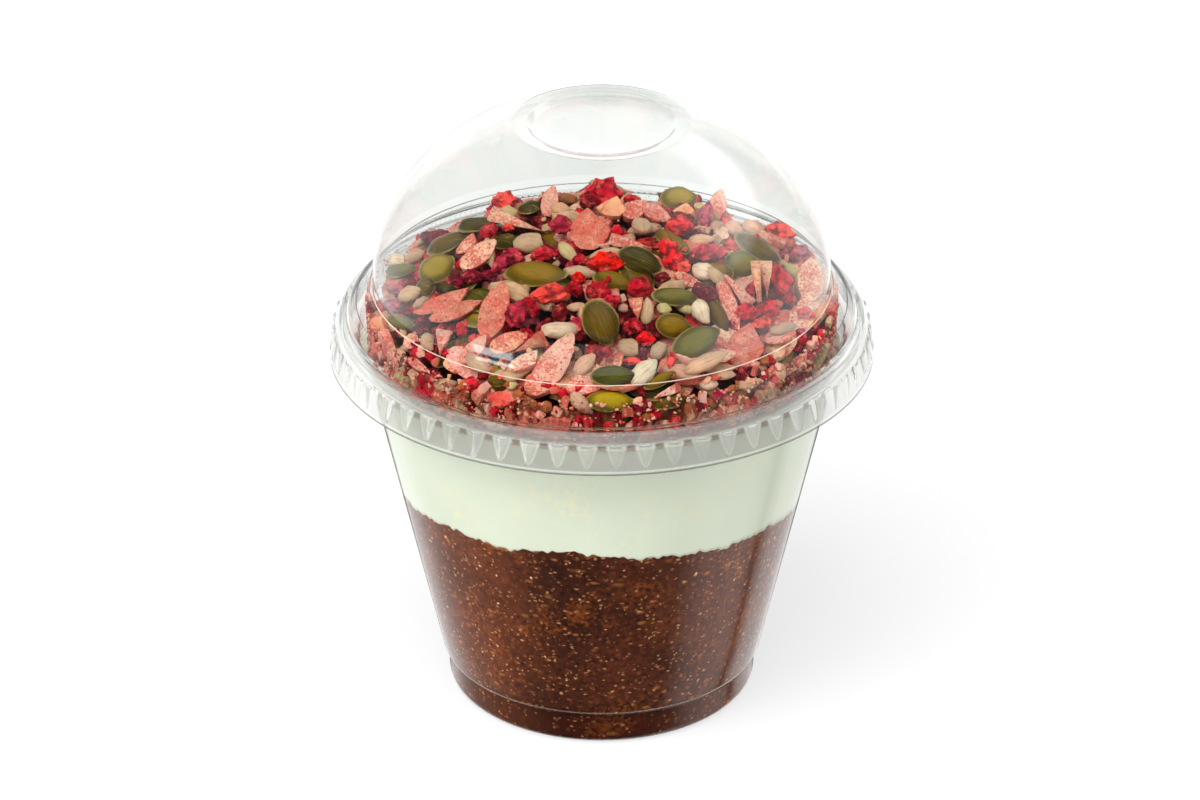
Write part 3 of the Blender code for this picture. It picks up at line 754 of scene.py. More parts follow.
def pumpkin_material():
    """Olive skin with fine lengthwise streaks, a paler rim, and a satin gloss."""
    skin = Skin("pumpkin_seed_skin", IOR=1.45, Specular_IOR_Level=0.26, Coat_Roughness=0.2)
    lines = skin.streaks(0.16, 2.4)
    edge = skin.note("edge")
    pale_lines = skin.ranged(lines, 0.45, 0.75, 0.0, 0.35)
    colour = skin.mixed(pale_lines, skin.tone(330.0, 0.3), paint(148, 122, 26))
    colour = skin.mixed(skin.ranged(edge, 0.5, 0.84, 0.0, 0.6), colour, paint(46, 38, 6))
    colour = skin.mixed(skin.ranged(edge, 0.88, 0.99, 0.0, 0.6), colour, paint(170, 144, 80))
    dusted = skin.effect("powder", Color=colour, Powder=paint(156, 128, 56), Scale=300.0, Cover=0.2)
    skin.fill(skin.shader, "Coat Weight", skin.ranged(dusted["Mask"], 0.0, 1.0, 0.35, 0.05))
    return skin.finish(dusted["Color"], lines, (0.3, 0.7, 0.24, 0.42), 0.25, 0.12)


def kernel_material():
    """Dry beige kernel, faintly streaked, with a little pink powder."""
    skin = Skin("sunflower_kernel_skin", IOR=1.42, Specular_IOR_Level=0.3)
    rim = skin.ranged(skin.note("edge"), 0.6, 1.0, 0.0, 0.3)
    colour = skin.mixed(rim, skin.tone(420.0, 0.28), paint(150, 128, 92))
    colour = skin.powder(colour, paint(226, 156, 138), 460.0, 0.3)
    lines = skin.ranged(skin.streaks(0.25, 2.2), 0.46, 0.7, 0.0, 0.5)
    colour = skin.mixed(lines, colour, paint(140, 104, 76))
    return skin.finish(colour, skin.grain(1100.0, 0.4), (0.2, 0.8, 0.42, 0.62), 0.35, 0.14)


def flake_material():
    """Sliced nut dusted pink, with red dots and a darker cut edge."""
    skin = Skin("dusted_almond_flake", IOR=1.42, Specular_IOR_Level=0.25)
    rim = skin.ranged(skin.note("edge"), 0.86, 1.0, 0.0, 0.3)
    rimmed = skin.mixed(rim, skin.tone(300.0, 0.3), paint(196, 112, 84))
    pale = skin.mixed(0.4, rimmed, skin.powder(rimmed, paint(236, 194, 168), 420.0, 0.5))
    colour = skin.mixed(0.92, pale, skin.powder(pale, paint(206, 94, 82), 230.0, 0.55))
    colour = skin.specks(colour, paint(180, 50, 54), 1300.0, 0.44, 0.4)
    colour = skin.mottle(colour, 1500.0, 0.34)
    return skin.finish(colour, skin.grain(1300.0, 0.5), (0.2, 0.8, 0.5, 0.72), 0.45, 0.14)


def berry_material():
    """Freeze-dried berry: crumbly, with painted shade in its hollows and paler frosted patches."""
    skin = Skin("dried_berry", IOR=1.42, Specular_IOR_Level=0.25)
    grain = skin.grain(950.0, 0.8)
    # Painted shade: the grain's hollows are darkened towards a deep red.
    colour = skin.mixed(skin.ranged(grain, 0.25, -0.05, 0.0, 0.8), skin.tone(520.0, 0.6), paint(70, 4, 16))
    colour = skin.powder(colour, paint(242, 104, 98), 700.0, 0.36)
    return skin.finish(colour, grain, (-0.1, 0.5, 0.55, 0.4), 0.7, 0.3)


def chunk_material(name, powder):
    """Dried fruit bits: uneven, with powder of another colour."""
    skin = Skin(name, IOR=1.42, Specular_IOR_Level=0.25)
    colour = skin.powder(skin.tone(420.0, 0.4), powder, 380.0, 0.34)
    return skin.finish(colour, skin.grain(900.0, 0.6), (0.0, 0.7, 0.6, 0.42), 0.5, 0.2)


def core_material():
    """Crumbs deep in the heap, painted dark as the heap's shade, and painted paler, less shaded, where it
    nears the wall.
    """
    skin = Skin("deep_crumbs", IOR=1.4, Specular_IOR_Level=0.2)
    flat = skin.vector("MULTIPLY", skin.own, (1.0, 1.0, 0.0))
    radius = skin.put("VectorMath", {0: flat}, operation="LENGTH").outputs["Value"]
    # Painted shade: near black deep inside, and paler towards the wall, where less shade falls.
    outer = skin.ranged(radius, 38.5 * MM, 40.5 * MM)
    colour = skin.mottle(skin.mixed(outer, paint(52, 14, 14), paint(160, 98, 72)), 340.0, 0.9)
    colour = skin.specks(colour, paint(140, 60, 52), 420.0, 0.4, 0.5)
    pale = skin.mixed(outer, paint(90, 30, 24), paint(218, 162, 132))
    colour = skin.specks(colour, pale, 620.0, 0.56, 0.75)
    colour = skin.specks(colour, paint(96, 30, 30), 800.0, 0.5, 0.5)
    return skin.finish(colour, skin.grain(500.0, 0.7), (0.0, 0.7, 0.8, 0.6), 0.6, 0.5)


# Cup, lid and layers.


def wall_radius(z):
    """Outer radius of the cup's tapered wall at height z."""
    slope = (NECK_RADIUS - STEP_RADIUS) / (NECK_HEIGHT - STEP_HEIGHT)
    return STEP_RADIUS + slope * (z - STEP_HEIGHT)


def foot_outline(inset):
    """The foot's outline from the axis up to the step, moved into the wall by inset."""
    corner = (FOOT_RADIUS - FOOT_ROUND, FOOT_ROUND)
    return [
        (0.0, BASE_PUNT + inset),
        (BASE_PUNT_RADIUS * 0.5, BASE_PUNT + inset),
        (BASE_PUNT_RADIUS, BASE_PUNT + inset),
        (BASE_PUNT_RADIUS + 0.7, BASE_PUNT * 0.35 + inset),
        (BASE_PUNT_RADIUS + 1.3, inset),
    ] + arc(corner, FOOT_ROUND - inset, -90, 0, 7) + [
        (STEP_RADIUS - STEP_INSET - inset, STEP_HEIGHT - 1.5),
        (STEP_RADIUS - STEP_INSET * 0.96 - inset, STEP_HEIGHT - 1.0),
        (STEP_RADIUS - STEP_INSET * 0.75 - inset, STEP_HEIGHT - 0.62),
        (STEP_RADIUS - STEP_INSET * 0.3 - inset, STEP_HEIGHT - 0.3),
        (STEP_RADIUS - 0.02 - inset, STEP_HEIGHT - 0.1),
        (STEP_RADIUS + 0.05 - inset, STEP_HEIGHT + 0.15),
    ]


def wall_outline(low, high, inset, rows):
    """Points up the tapered wall between two heights, without the first."""
    heights = [low + (high - low) * row / rows for row in range(1, rows + 1)]
    return [(wall_radius(z) - inset, z) for z in heights]


def assign_faces(piece, material, test):
    """Gives the faces whose middles' radius and height pass the test another material."""
    piece.data.materials.append(material)
    take(piece)
    to_mode("EDIT")
    bpy.ops.mesh.select_mode(type="FACE")
    bpy.ops.mesh.select_all(action="DESELECT")
    to_mode("OBJECT")
    for face in piece.data.polygons:
        x, y, z = face.center / MM
        face.select = test(math.hypot(x, y), z)
    to_mode("EDIT")
    piece.active_material_index = len(piece.data.materials) - 1
    bpy.ops.object.material_slot_assign()
    to_mode("OBJECT")


def build_cup(material, painted_highlight_line):
    """The cup's inner skin with its rolled rim, thickened outwards."""
    rim = arc((RIM_RADIUS - RIM_ROLL, RIM_CENTRE_Z), RIM_ROLL, 165, -70, 14)
    outline = foot_outline(PLASTIC) + wall_outline(STEP_HEIGHT + 0.6, NECK_HEIGHT, PLASTIC, 9) + rim
    cup = turn_outline("clear_cup", outline, CUP_STEPS)
    thicken_down(cup)
    smooth_by(cup, 40)
    dress(cup, material, "cup")
    # The step's faces get the painted highlight line.
    assign_faces(cup, painted_highlight_line, lambda r, z: STEP_HEIGHT - 0.25 < z < STEP_HEIGHT + 0.1)


def lid_outline():
    """The lid's outer face from the middle of the recess down to the skirt's edge."""
    start = math.acos(RING_OUTER / DOME_RADIUS)
    top = DOME_CENTRE_Z + DOME_RISE * math.sin(start)
    floor = top - RECESS_DEPTH
    dome = []
    for step in range(DOME_ARCS + 1):
        angle = start * (1 - step / DOME_ARCS)
        dome.append((DOME_RADIUS * math.cos(angle), DOME_CENTRE_Z + DOME_RISE * math.sin(angle)))
    skirt = [(SHOULDER_RADIUS + (SKIRT_RADIUS - SHOULDER_RADIUS) * share, z) for share, z in skirt_rows()]
    return [
        (0.0, floor + 0.12),
        (RING_INNER * 0.5, floor + 0.09),
        (RING_INNER - RECESS_SLOPE - 0.45, floor),
        (RING_INNER - RECESS_SLOPE, floor + 0.12),
        (RING_INNER - 0.12, top - 0.14),
        (RING_INNER + 0.2, top),
        (RING_OUTER - 0.7, top + 0.02),
        (RING_OUTER - 0.4, top + 0.06),
        (RING_OUTER - 0.15, top + 0.035),
    ] + dome + [
        (DOME_RADIUS, DOME_FOOT_Z + 0.95),
        (DOME_RADIUS + 0.12, DOME_FOOT_Z + 0.72),
        (DOME_RADIUS + 0.36, DOME_FOOT_Z + 0.62),
        (DOME_RADIUS + 0.52, DOME_FOOT_Z + 0.46),
        (DOME_RADIUS + 0.62, DOME_FOOT_Z + 0.1),
        (DOME_RADIUS + 0.72, DOME_FOOT_Z - 0.2),
        (DOME_RADIUS + 0.95, DOME_FOOT_Z - 0.5),
        (COLLAR_RADIUS - 0.3, COLLAR_HEIGHT + 0.1),
        (COLLAR_RADIUS, COLLAR_HEIGHT - 0.1),
        (COLLAR_RADIUS + 0.5, COLLAR_HEIGHT - 0.62),
        (LEDGE_RADIUS - 0.5, LEDGE_HEIGHT + 0.42),
        (LEDGE_RADIUS, LEDGE_HEIGHT - 0.1),
        (LEDGE_RADIUS + 0.45, LEDGE_HEIGHT - 0.9),
        (LEDGE_RADIUS + 0.95, LEDGE_HEIGHT - 1.9),
        (BEAD_CENTRE[0] - 0.62, BEAD_CENTRE[1] + 0.78),
    ] + arc(BEAD_CENTRE, BEAD_RADIUS, 105, 0, 6) + [
        (SHOULDER_RADIUS - 0.28, SHOULDER_HEIGHT + 0.5),
        (SHOULDER_RADIUS - 0.08, SHOULDER_HEIGHT + 0.1),
    ] + skirt


def skirt_rows():
    """Rows of the skirt from its top down: share of the way out, and height."""
    heights = [SHOULDER_HEIGHT - 0.2, FLUTE_TOP + 0.12]
    heights += [FLUTE_TOP + (FLUTE_POINT - FLUTE_TOP) * row / FLUTE_ROWS for row in range(FLUTE_ROWS + 1)]
    heights += [SKIRT_BOTTOM + 0.55, SKIRT_BOTTOM + 0.15, SKIRT_BOTTOM]
    drop = SHOULDER_HEIGHT - SKIRT_BOTTOM
    return [((SHOULDER_HEIGHT - z) / drop, z) for z in heights]


def raise_flutes(lid):
    """Pulls the tapered flutes out of the skirt's outer face, row by row and column by column."""
    steps = FLUTES * STEPS_PER_FLUTE
    middle = STEPS_PER_FLUTE / 2
    drop = SHOULDER_HEIGHT - SKIRT_BOTTOM
    for row in range(FLUTE_ROWS):
        height = FLUTE_TOP + (FLUTE_POINT - FLUTE_TOP) * row / FLUTE_ROWS
        outer = SHOULDER_RADIUS + (SKIRT_RADIUS - SHOULDER_RADIUS) * (SHOULDER_HEIGHT - height) / drop
        reach = 3.0 * (1 - row / FLUTE_ROWS) ** 0.7
        for offset in range(int(middle)):
            if offset >= reach:
                continue
            crown = math.cos(math.pi / 2 * offset / reach) ** 1.5
            depth = FLUTE_DEPTH * crown * (1 - 0.4 * row / FLUTE_ROWS)

            def in_flute(x, y, z):
                column = np.round(np.arctan2(y, x) / math.tau * steps) % STEPS_PER_FLUTE
                on_face = np.abs(np.hypot(x, y) - outer) < 0.15
                return (np.abs(z - height) < 0.03) & on_face & (np.abs(column - middle) == offset)

            choose(lid, in_flute)
            bpy.ops.transform.shrink_fatten(value=depth * MM)


def raise_ribs(lid):
    """Lifts every second step of the slope over the bead into a fine rib, on its outer face."""
    steps = FLUTES * STEPS_PER_FLUTE
    for radius, height in RIB_ROWS:
        def on_ribs(x, y, z):
            column = np.round(np.arctan2(y, x) / math.tau * steps) % 2
            return (column == 0) & (np.abs(np.hypot(x, y) - radius) < 0.1) & (np.abs(z - height) < 0.1)

        choose(lid, on_ribs)
        bpy.ops.transform.shrink_fatten(value=RIB_DEPTH * MM)


def build_lid(material, edge_material, ribbed_material, skirt_material, painted_highlight_line):
    lid = turn_outline("clear_dome_lid", lid_outline(), FLUTES * STEPS_PER_FLUTE)
    thicken_down(lid)
    take(lid)
    to_mode("EDIT")
    bpy.ops.mesh.select_mode(type="VERT")
    raise_flutes(lid)
    raise_ribs(lid)
    to_mode("OBJECT")
    smooth_by(lid, 42)
    dress(lid, material, "lid")
    inner, outer = RIBBED_RADII
    assign_faces(lid, edge_material,
                 lambda r, z: DOME_RADIUS - 0.5 < r < FOOT_BAND_RADIUS and z < FOOT_BAND_TOP)
    assign_faces(lid, ribbed_material, lambda r, z: inner < r < outer and z > RIBBED_BOTTOM)
    # The skirt and the bead's face get the skirt's plastic, with its painted light and shade.
    assign_faces(lid, skirt_material,
                 lambda r, z: z < SHOULDER_HEIGHT + 0.2 or r > BEAD_FACE_RADIUS and z < BEAD_FACE_TOP)
    # A narrow band at the dome's foot gets the painted highlight line.
    assign_faces(lid, painted_highlight_line, lambda r, z: r > DOME_RADIUS + 0.14 and 0.6 < z - DOME_FOOT_Z < 0.72)


def layer_height(x, y):
    """Height of the pudding's uneven top, with waves that fade towards the middle."""
    reach = wall_radius(PUDDING_TOP)
    angle = np.arctan2(y, x)
    waves = sum(size * np.sin(count * angle + phase) for count, size, phase in LAYER_WAVES)
    share = np.minimum(np.hypot(x, y) / reach, 1.0)
    return PUDDING_TOP + waves * share ** 2


def lay_waves(piece, lift):
    """Moves the vertices at the layers' border onto the uneven surface, raised by lift."""
    x, y, z = places(piece)
    border = np.abs(z - PUDDING_TOP) < 0.001
    height = np.where(border, layer_height(x, y) + lift, z)
    radius = np.maximum(np.hypot(x, y), 0.001)
    at_wall = border & (radius > wall_radius(PUDDING_TOP) - PLASTIC)
    grow = np.where(at_wall, (wall_radius(height) - PLASTIC + INTO_WALL) / radius, 1.0)
    moved = np.stack((x * grow, y * grow, height)).T * MM
    piece.data.vertices.foreach_set("co", moved.ravel())
    piece.data.attributes.new("border", "FLOAT", "POINT").data.foreach_set("value", border.astype(float))
    piece.data.update()


def build_layers(pudding_skin, cream_skin):
    """The pudding and the cream, each reaching just into the wall so that no air shows."""
    inset = PLASTIC - INTO_WALL
    low, high = PUDDING_TOP - 3.2, PUDDING_TOP + 3.2
    border = wall_radius(PUDDING_TOP) - inset
    rings = [border * share for share in RING_SHARES]
    pudding_outline = foot_outline(inset) + wall_outline(STEP_HEIGHT + 0.6, low, inset, 10)
    pudding_outline += [(border, PUDDING_TOP)] + [(r, PUDDING_TOP) for r in rings]
    pudding = turn_outline("chia_pudding_layer", pudding_outline, LAYER_STEPS)
    cream_outline = [(r, PUDDING_TOP) for r in reversed(rings)] + [(border, PUDDING_TOP)]
    cream_outline += [(wall_radius(high) - inset, high)] + wall_outline(high, CREAM_TOP, inset, 6)
    cream_outline += [(wall_radius(CREAM_TOP) * share, CREAM_TOP) for share in (0.9, 0.5, 0.0)]
    cream = turn_outline("cream", cream_outline, LAYER_STEPS)
    lay_waves(pudding, 0.0)
    lay_waves(cream, LAYER_GAP)
    for piece, material, node, slot in ((pudding, pudding_skin, "chia_pudding", "chia_pudding"),
                                        (cream, cream_skin, "cream_layer", "cream")):
        smooth_by(piece, 50)
        dress(piece, material, node)


# Loose pieces of the topping, each modelled along X.


def note_edges(piece, kind):
    """Stores how near each vertex is to the piece's edge, seen from its flat side."""
    length, width = KINDS[kind][:2]
    x, y, _ = places(piece)
    share = np.clip(np.hypot(x / length, y / width), 0.0, 1.0)
    piece.data.attributes.new("edge", "FLOAT", "POINT").data.foreach_set("value", share)


def note_length(piece):
    """Gives the piece a UV map that holds its own x and y in millimetres."""
    if not piece.data.uv_layers:
        piece.data.uv_layers.new(name="UVMap")
    layer = piece.data.uv_layers[0]
    corners = np.empty(len(piece.data.loops), dtype=int)
    piece.data.loops.foreach_get("vertex_index", corners)
    x, y, _ = places(piece)
    layer.data.foreach_set("uv", np.stack((x[corners], y[corners])).T.ravel())


def begin(kind, number, add, **settings):
    """Adds the primitive that a piece is shaped from: the piece, in edit mode, and its half sizes."""
    clear_choice()
    add(**settings)
    return new_piece(f"{kind}_{number}"), *KINDS[kind][:3]


def taper(piece, length, steps, in_height=False):
    """Narrows the piece, step by step, beyond each share of its half length."""
    for share, narrow in steps:
        choose(piece, lambda x, y, z: x > share * length)
        stretch(1, narrow, narrow if in_height else 1)


def loosen(amount, normal, number):
    """Moves all the vertices at random, by up to amount."""
    choose_all()
    bpy.ops.transform.vertex_random(offset=amount * MM, normal=normal, seed=number)


def break_off(place, side, fill=True):
    """Breaks off what is beyond a place, on the side given."""
    choose_all()
    bpy.ops.mesh.bisect(plane_co=Vector(place) * MM, plane_no=side, use_fill=fill, clear_outer=True)


def break_faces(draw, cuts, low, high):
    """Breaks flat faces off the active piece, each between low and high from its middle."""
    to_mode("EDIT")
    for _ in range(cuts):
        side = Vector((draw.uniform(-1, 1), draw.uniform(-1, 1), draw.uniform(-1, 1))).normalized()
        break_off(side * draw.uniform(low, high), side)
    choose_all()
    bpy.ops.mesh.quads_convert_to_tris()


def warp(piece, axis, degrees):
    apply_modifier(piece, "SIMPLE_DEFORM", deform_method="BEND", deform_axis=axis,
                   angle=math.radians(degrees))


def model_pumpkin_seed(number):
    """A flat egg-shaped seed with a pointed end and a fine raised rim."""
    seed, length, width, thickness = begin(
        "pumpkin_seed", number, bpy.ops.mesh.primitive_uv_sphere_add, segments=20, ring_count=8, radius=MM)
    stretch(length * 0.97, width * 0.95, thickness)
    taper(seed, length, ((0.25, 0.93), (0.5, 0.88), (0.75, 0.72)))
    choose(seed, lambda x, y, z: np.abs(z) < 0.05 * thickness)
    stretch(1.04, 1.08, 1)
    choose(seed, lambda x, y, z: (np.abs(z) > 0.3 * thickness) & (np.abs(z) < 0.5 * thickness))
    stretch(1, 1, 0.72)
    loosen(0.1, 0.5, number)
    warp(seed, "Y", (6, -14, 22, -4, 12, -20)[number % 6])
    smooth_by(seed, 60)
    return seed


def model_kernel(number):
    """A plump drop, blunt at one end and pointed at the other, sometimes chipped."""
    kernel, length, width, thickness = begin(
        "sunflower_kernel", number, bpy.ops.mesh.primitive_uv_sphere_add, segments=12, ring_count=8,
        radius=MM, rotation=(0, math.pi / 2, 0))
    to_mode("OBJECT")
    bpy.ops.object.transform_apply(location=True, rotation=True, scale=True)
    to_mode("EDIT")
    choose_all()
    stretch(length, width, thickness)
    taper(kernel, length, ((0.1, 0.88), (0.5, 0.8), (0.8, 0.75)), in_height=True)
    loosen(0.16, 0.3, number)
    if number % 3 == 1:
        break_off((0.62 * length, 0, 0), (1, 0.35, 0.1))
    warp(kernel, "Z", (10, -18, 24, -8, 16)[number % 5])
    smooth_by(kernel, 50)
    return kernel


def model_flake(number):
    """A thin slice, rounded at one end and narrower or broken at the other, with a slight bend."""
    flake, length, width, thickness = begin(
        "almond_flake", number, bpy.ops.mesh.primitive_circle_add, vertices=28, radius=MM, fill_type="NGON")
    bpy.ops.mesh.select_mode(type="FACE")
    choose_all()
    bpy.ops.mesh.inset(thickness=0.16 * MM)
    bpy.ops.mesh.inset(thickness=0.4 * MM)
    bpy.ops.mesh.poke()
    bpy.ops.mesh.select_mode(type="VERT")
    choose_all()
    stretch(length, width, 1)
    taper(flake, length, ((0.0, 0.96), (0.35, 0.92), (0.7, (0.8, 0.62, 0.9, 0.7)[number % 4])))
    loosen(0.16, 0.0, number)
    if number % 4 == 2:
        break_off((0.5 * length, 0, 0), (1, -0.5, 0), fill=False)
    apply_modifier(flake, "SOLIDIFY", thickness=2 * thickness * MM, offset=0.0)
    apply_modifier(flake, "BEVEL", width=0.16 * MM, segments=1, limit_method="ANGLE",
                   angle_limit=math.radians(50))
    warp(flake, "Y", (12, -18, 8, 22, -10, 5, -14, 16)[number % 8])
    roughen(flake, "CLOUDS", 2.2, 0.5, mid_level=0.5)
    smooth_by(flake, 38)
    return flake


def model_berry(number):
    """A crumbly bit of dried berry: knobbly on the outside, broken flat on some sides."""
    berry, *sizes = begin(
        "berry_bit", number, bpy.ops.mesh.primitive_ico_sphere_add, subdivisions=3, radius=MM)
    stretch(*sizes)
    roughen(berry, "CLOUDS", 2.4, 1.8, mid_level=0.5)
    roughen(berry, "VORONOI", 1.15 + 0.15 * (number % 4), -1.4, mid_level=0.35)
    take(berry)
    break_faces(random.Random(number), 1 + number % 3, 1.4, 1.9)
    loosen(0.14, 0.2, number)
    to_mode("OBJECT")
    smooth_by(berry, 34)
    return berry


def model_chunk(number):
    """A lump of dried fruit with a few broken faces and worn edges."""
    chunk, *sizes = begin(
        "fruit_chunk", number, bpy.ops.mesh.primitive_ico_sphere_add, subdivisions=3, radius=MM)
    stretch(*sizes)
    break_faces(random.Random(number), 4 + number % 2, 1.1, 1.8)
    loosen(0.16, 0.4, number)
    to_mode("OBJECT")
    roughen(chunk, "CLOUDS", 1.3, 1.5, mid_level=0.5)
    smooth_by(chunk, 34)
    return chunk


def model_nib(number):
    """A small broken bit."""
    nib, *sizes = begin("nib", number, bpy.ops.mesh.primitive_cube_add, size=1.5 * MM)
    bpy.ops.mesh.subdivide(number_cuts=1)
    bpy.ops.mesh.vertices_smooth(factor=0.35)
    stretch(*sizes)
    loosen(0.36, 0.3, number)
    to_mode("OBJECT")
    smooth_by(nib, 40)
    return nib


def model_crumb(number):
    """A grain of broken berry or nut."""
    crumb, *sizes = begin(
        "crumb", number, bpy.ops.mesh.primitive_ico_sphere_add, subdivisions=1, radius=MM)
    stretch(*sizes)
    loosen(0.16, 0.2, number)
    to_mode("OBJECT")
    return crumb


MODELLERS = {
    "pumpkin_seed": (model_pumpkin_seed, 6),
    "sunflower_kernel": (model_kernel, 6),
    "almond_flake": (model_flake, 8),
    "berry_bit": (model_berry, 10),
    "fruit_chunk": (model_chunk, 5),
    "nib": (model_nib, 5),
    "crumb": (model_crumb, 4),
}


# How the pieces lie.

FORWARD = np.array((0.0, math.cos(CAMERA_ELEVATION), -math.sin(CAMERA_ELEVATION)))
RIGHT = np.array((1.0, 0.0, 0.0))
UP = np.array((0.0, math.sin(CAMERA_ELEVATION), math.cos(CAMERA_ELEVATION)))
EYE = np.array(CAMERA_TARGET) - FORWARD * CAMERA_DISTANCE


def heap_height(radius):
    """The heap's mean surface at this distance from the axis."""
    share = np.minimum(radius / HEAP_RADIUS, 1.0) ** HEAP_POWER
    return HEAP_TOP - (HEAP_TOP - HEAP_EDGE) * share


def heap_normal(x, y):
    """Upward normal of the heap's mean surface."""
    radius = max(math.hypot(x, y), 0.5)
    slope = float(heap_height(radius + 0.5) - heap_height(radius - 0.5))
    normal = np.array((-slope * x / radius, -slope * y / radius, 1.0))
    return normal / np.linalg.norm(normal)


def room(z):
    """Radius that is free inside the lid and the cup at height z."""
    if z < COLLAR_HEIGHT - 0.6:
        return COLLAR_RADIUS - PLASTIC - 0.1
    lift = max(z - DOME_CENTRE_Z, 0.0) / (DOME_RISE - PLASTIC)
    return (DOME_RADIUS - PLASTIC - 0.1) * math.sqrt(max(1.0 - lift * lift, 0.0))


def axes_along(along, normal):
    """Axes of a piece that lies along one way, as far as its flat side, square to normal, allows."""
    along = along - normal * (along @ normal)
    along /= np.linalg.norm(along)
    return np.stack((along, np.cross(normal, along), normal), axis=1)


def half_sizes(kind, grow):
    return [value * grow for value in KINDS[kind][:3]]


def any_tone(kind, draw):
    return draw.choice(KINDS[kind][3].split())


class Lie:
    """A piece's turn and half sizes, and the egg shape that stands for it as it lands."""

    def __init__(self, kind, axes, sizes):
        self.kind = kind
        self.axes = axes
        self.sizes = np.array(sizes)
        self.spread = axes @ np.diag(self.sizes ** 2) @ axes.T
        self.form = axes @ np.diag(1 / self.sizes ** 2) @ axes.T
        self.rise = math.sqrt(self.spread[2, 2])

    def reach(self, x, y):
        """How far it sticks out from its middle, away from the axis."""
        radius = max(math.hypot(x, y), 0.01)
        out = np.array((x / radius, y / radius, 0.0))
        return math.sqrt(out @ self.spread @ out)

    def fits(self, x, y, z):
        return math.hypot(x, y) + self.reach(x, y) < room(z + 0.5 * self.rise)


class Heap:
    """Height map of the heap as it grows, and how deep the picked-out pieces lie in the picture."""

    def __init__(self):
        half = DOME_RADIUS
        self.axis = np.arange(-half, half + CELL, CELL)
        self.x, self.y = np.meshgrid(self.axis, self.axis, indexing="ij")
        self.radius = np.hypot(self.x, self.y)
        self.target = heap_height(self.radius)
        self.height = self.target - CORE_DEPTH
        self.height -= np.clip(self.radius - CORE_RADIUS, 0.0, 3.0) * 0.6
        self.inside = self.radius < HEAP_RADIUS - 1.2
        self.picture = np.full((PICTURE_WIDTH // 2, PICTURE_HEIGHT // 2), -99.0)
        self.skyline = skyline()
        self.laid = []

    def window(self, x, y, lie):
        """The cells under a piece, and its lower and upper skin there, from its middle."""
        across = math.sqrt(lie.spread[0, 0])
        deep = math.sqrt(lie.spread[1, 1])
        i0, i1 = np.searchsorted(self.axis, (x - across, x + across))
        j0, j1 = np.searchsorted(self.axis, (y - deep, y + deep))
        cells = (slice(i0, i1), slice(j0, j1))
        dx, dy = self.x[cells] - x, self.y[cells] - y
        form = lie.form
        middle = -(form[0, 2] * dx + form[1, 2] * dy) / form[2, 2]
        flat = form[0, 0] * dx * dx + 2 * form[0, 1] * dx * dy + form[1, 1] * dy * dy - 1
        depth = middle * middle - flat / form[2, 2]
        covered = depth > 0
        half = np.sqrt(np.maximum(depth, 0.0))
        return cells, covered, middle - half, middle + half

    def rest(self, x, y, lie):
        """Height at which the piece's middle comes to rest, sunk a little between the others."""
        cells, covered, low, _ = self.window(x, y, lie)
        if covered.sum() < 2:
            return float(heap_height(math.hypot(x, y))) - 1.0
        return float(np.quantile((self.height[cells] - low)[covered], 0.86))

    def lay(self, x, y, z, lie, tone, keep=False):
        cells, covered, _, high = self.window(x, y, lie)
        top = np.where(covered, z + high, -1.0)
        self.height[cells] = np.maximum(self.height[cells], top)
        if keep:
            seen, inside = in_picture(x, y, z, lie)
            self.picture[seen] = np.where(inside, y, self.picture[seen])
        self.laid.append((lie, (x, y, z), tone))

    def hides(self, x, y, z, lie):
        """Share of the piece's outline in the picture that is in front of picked-out pieces.

        It is more than 1 where the piece would stick up above all of them.
        """
        seen, inside = in_picture(x, y, z, lie)
        rows = np.arange(seen[1].start, seen[1].stop)
        above = inside & (rows[None, :] < self.skyline[seen[0]][:, None])
        covers = inside & (self.picture[seen] > y - 2.5)
        return 2.0 if above.sum() > 0.03 * inside.sum() else covers.sum() / max(inside.sum(), 1)


def spun_axes(normal, turn):
    """Axes of a piece whose flat side looks along normal, turned about it."""
    side = np.cross((0.0, 1.0, 0.0) if abs(normal[1]) < 0.9 else (1.0, 0.0, 0.0), normal)
    side /= np.linalg.norm(side)
    other = np.cross(normal, side)
    along = side * math.cos(turn) + other * math.sin(turn)
    return np.stack((along, np.cross(normal, along), normal), axis=1)


def leaned(normal, draw, degrees):
    """The normal tipped at random, by about so many degrees."""
    tip = np.array([draw.gauss(0, 1) for _ in range(3)]) * math.tan(math.radians(degrees)) * 0.7
    tipped = normal + tip
    return tipped / np.linalg.norm(tipped)


LEANS = {"pumpkin_seed": 20, "sunflower_kernel": 24, "almond_flake": 30, "berry_bit": 60,
         "fruit_chunk": 60, "nib": 60, "crumb": 60}


def random_lie(kind, x, y, draw, size=1.0):
    sizes = half_sizes(kind, size * draw.uniform(0.82, 1.14))
    normal = leaned(heap_normal(x, y), draw, LEANS[kind])
    return Lie(kind, spun_axes(normal, draw.uniform(0, math.tau)), sizes)


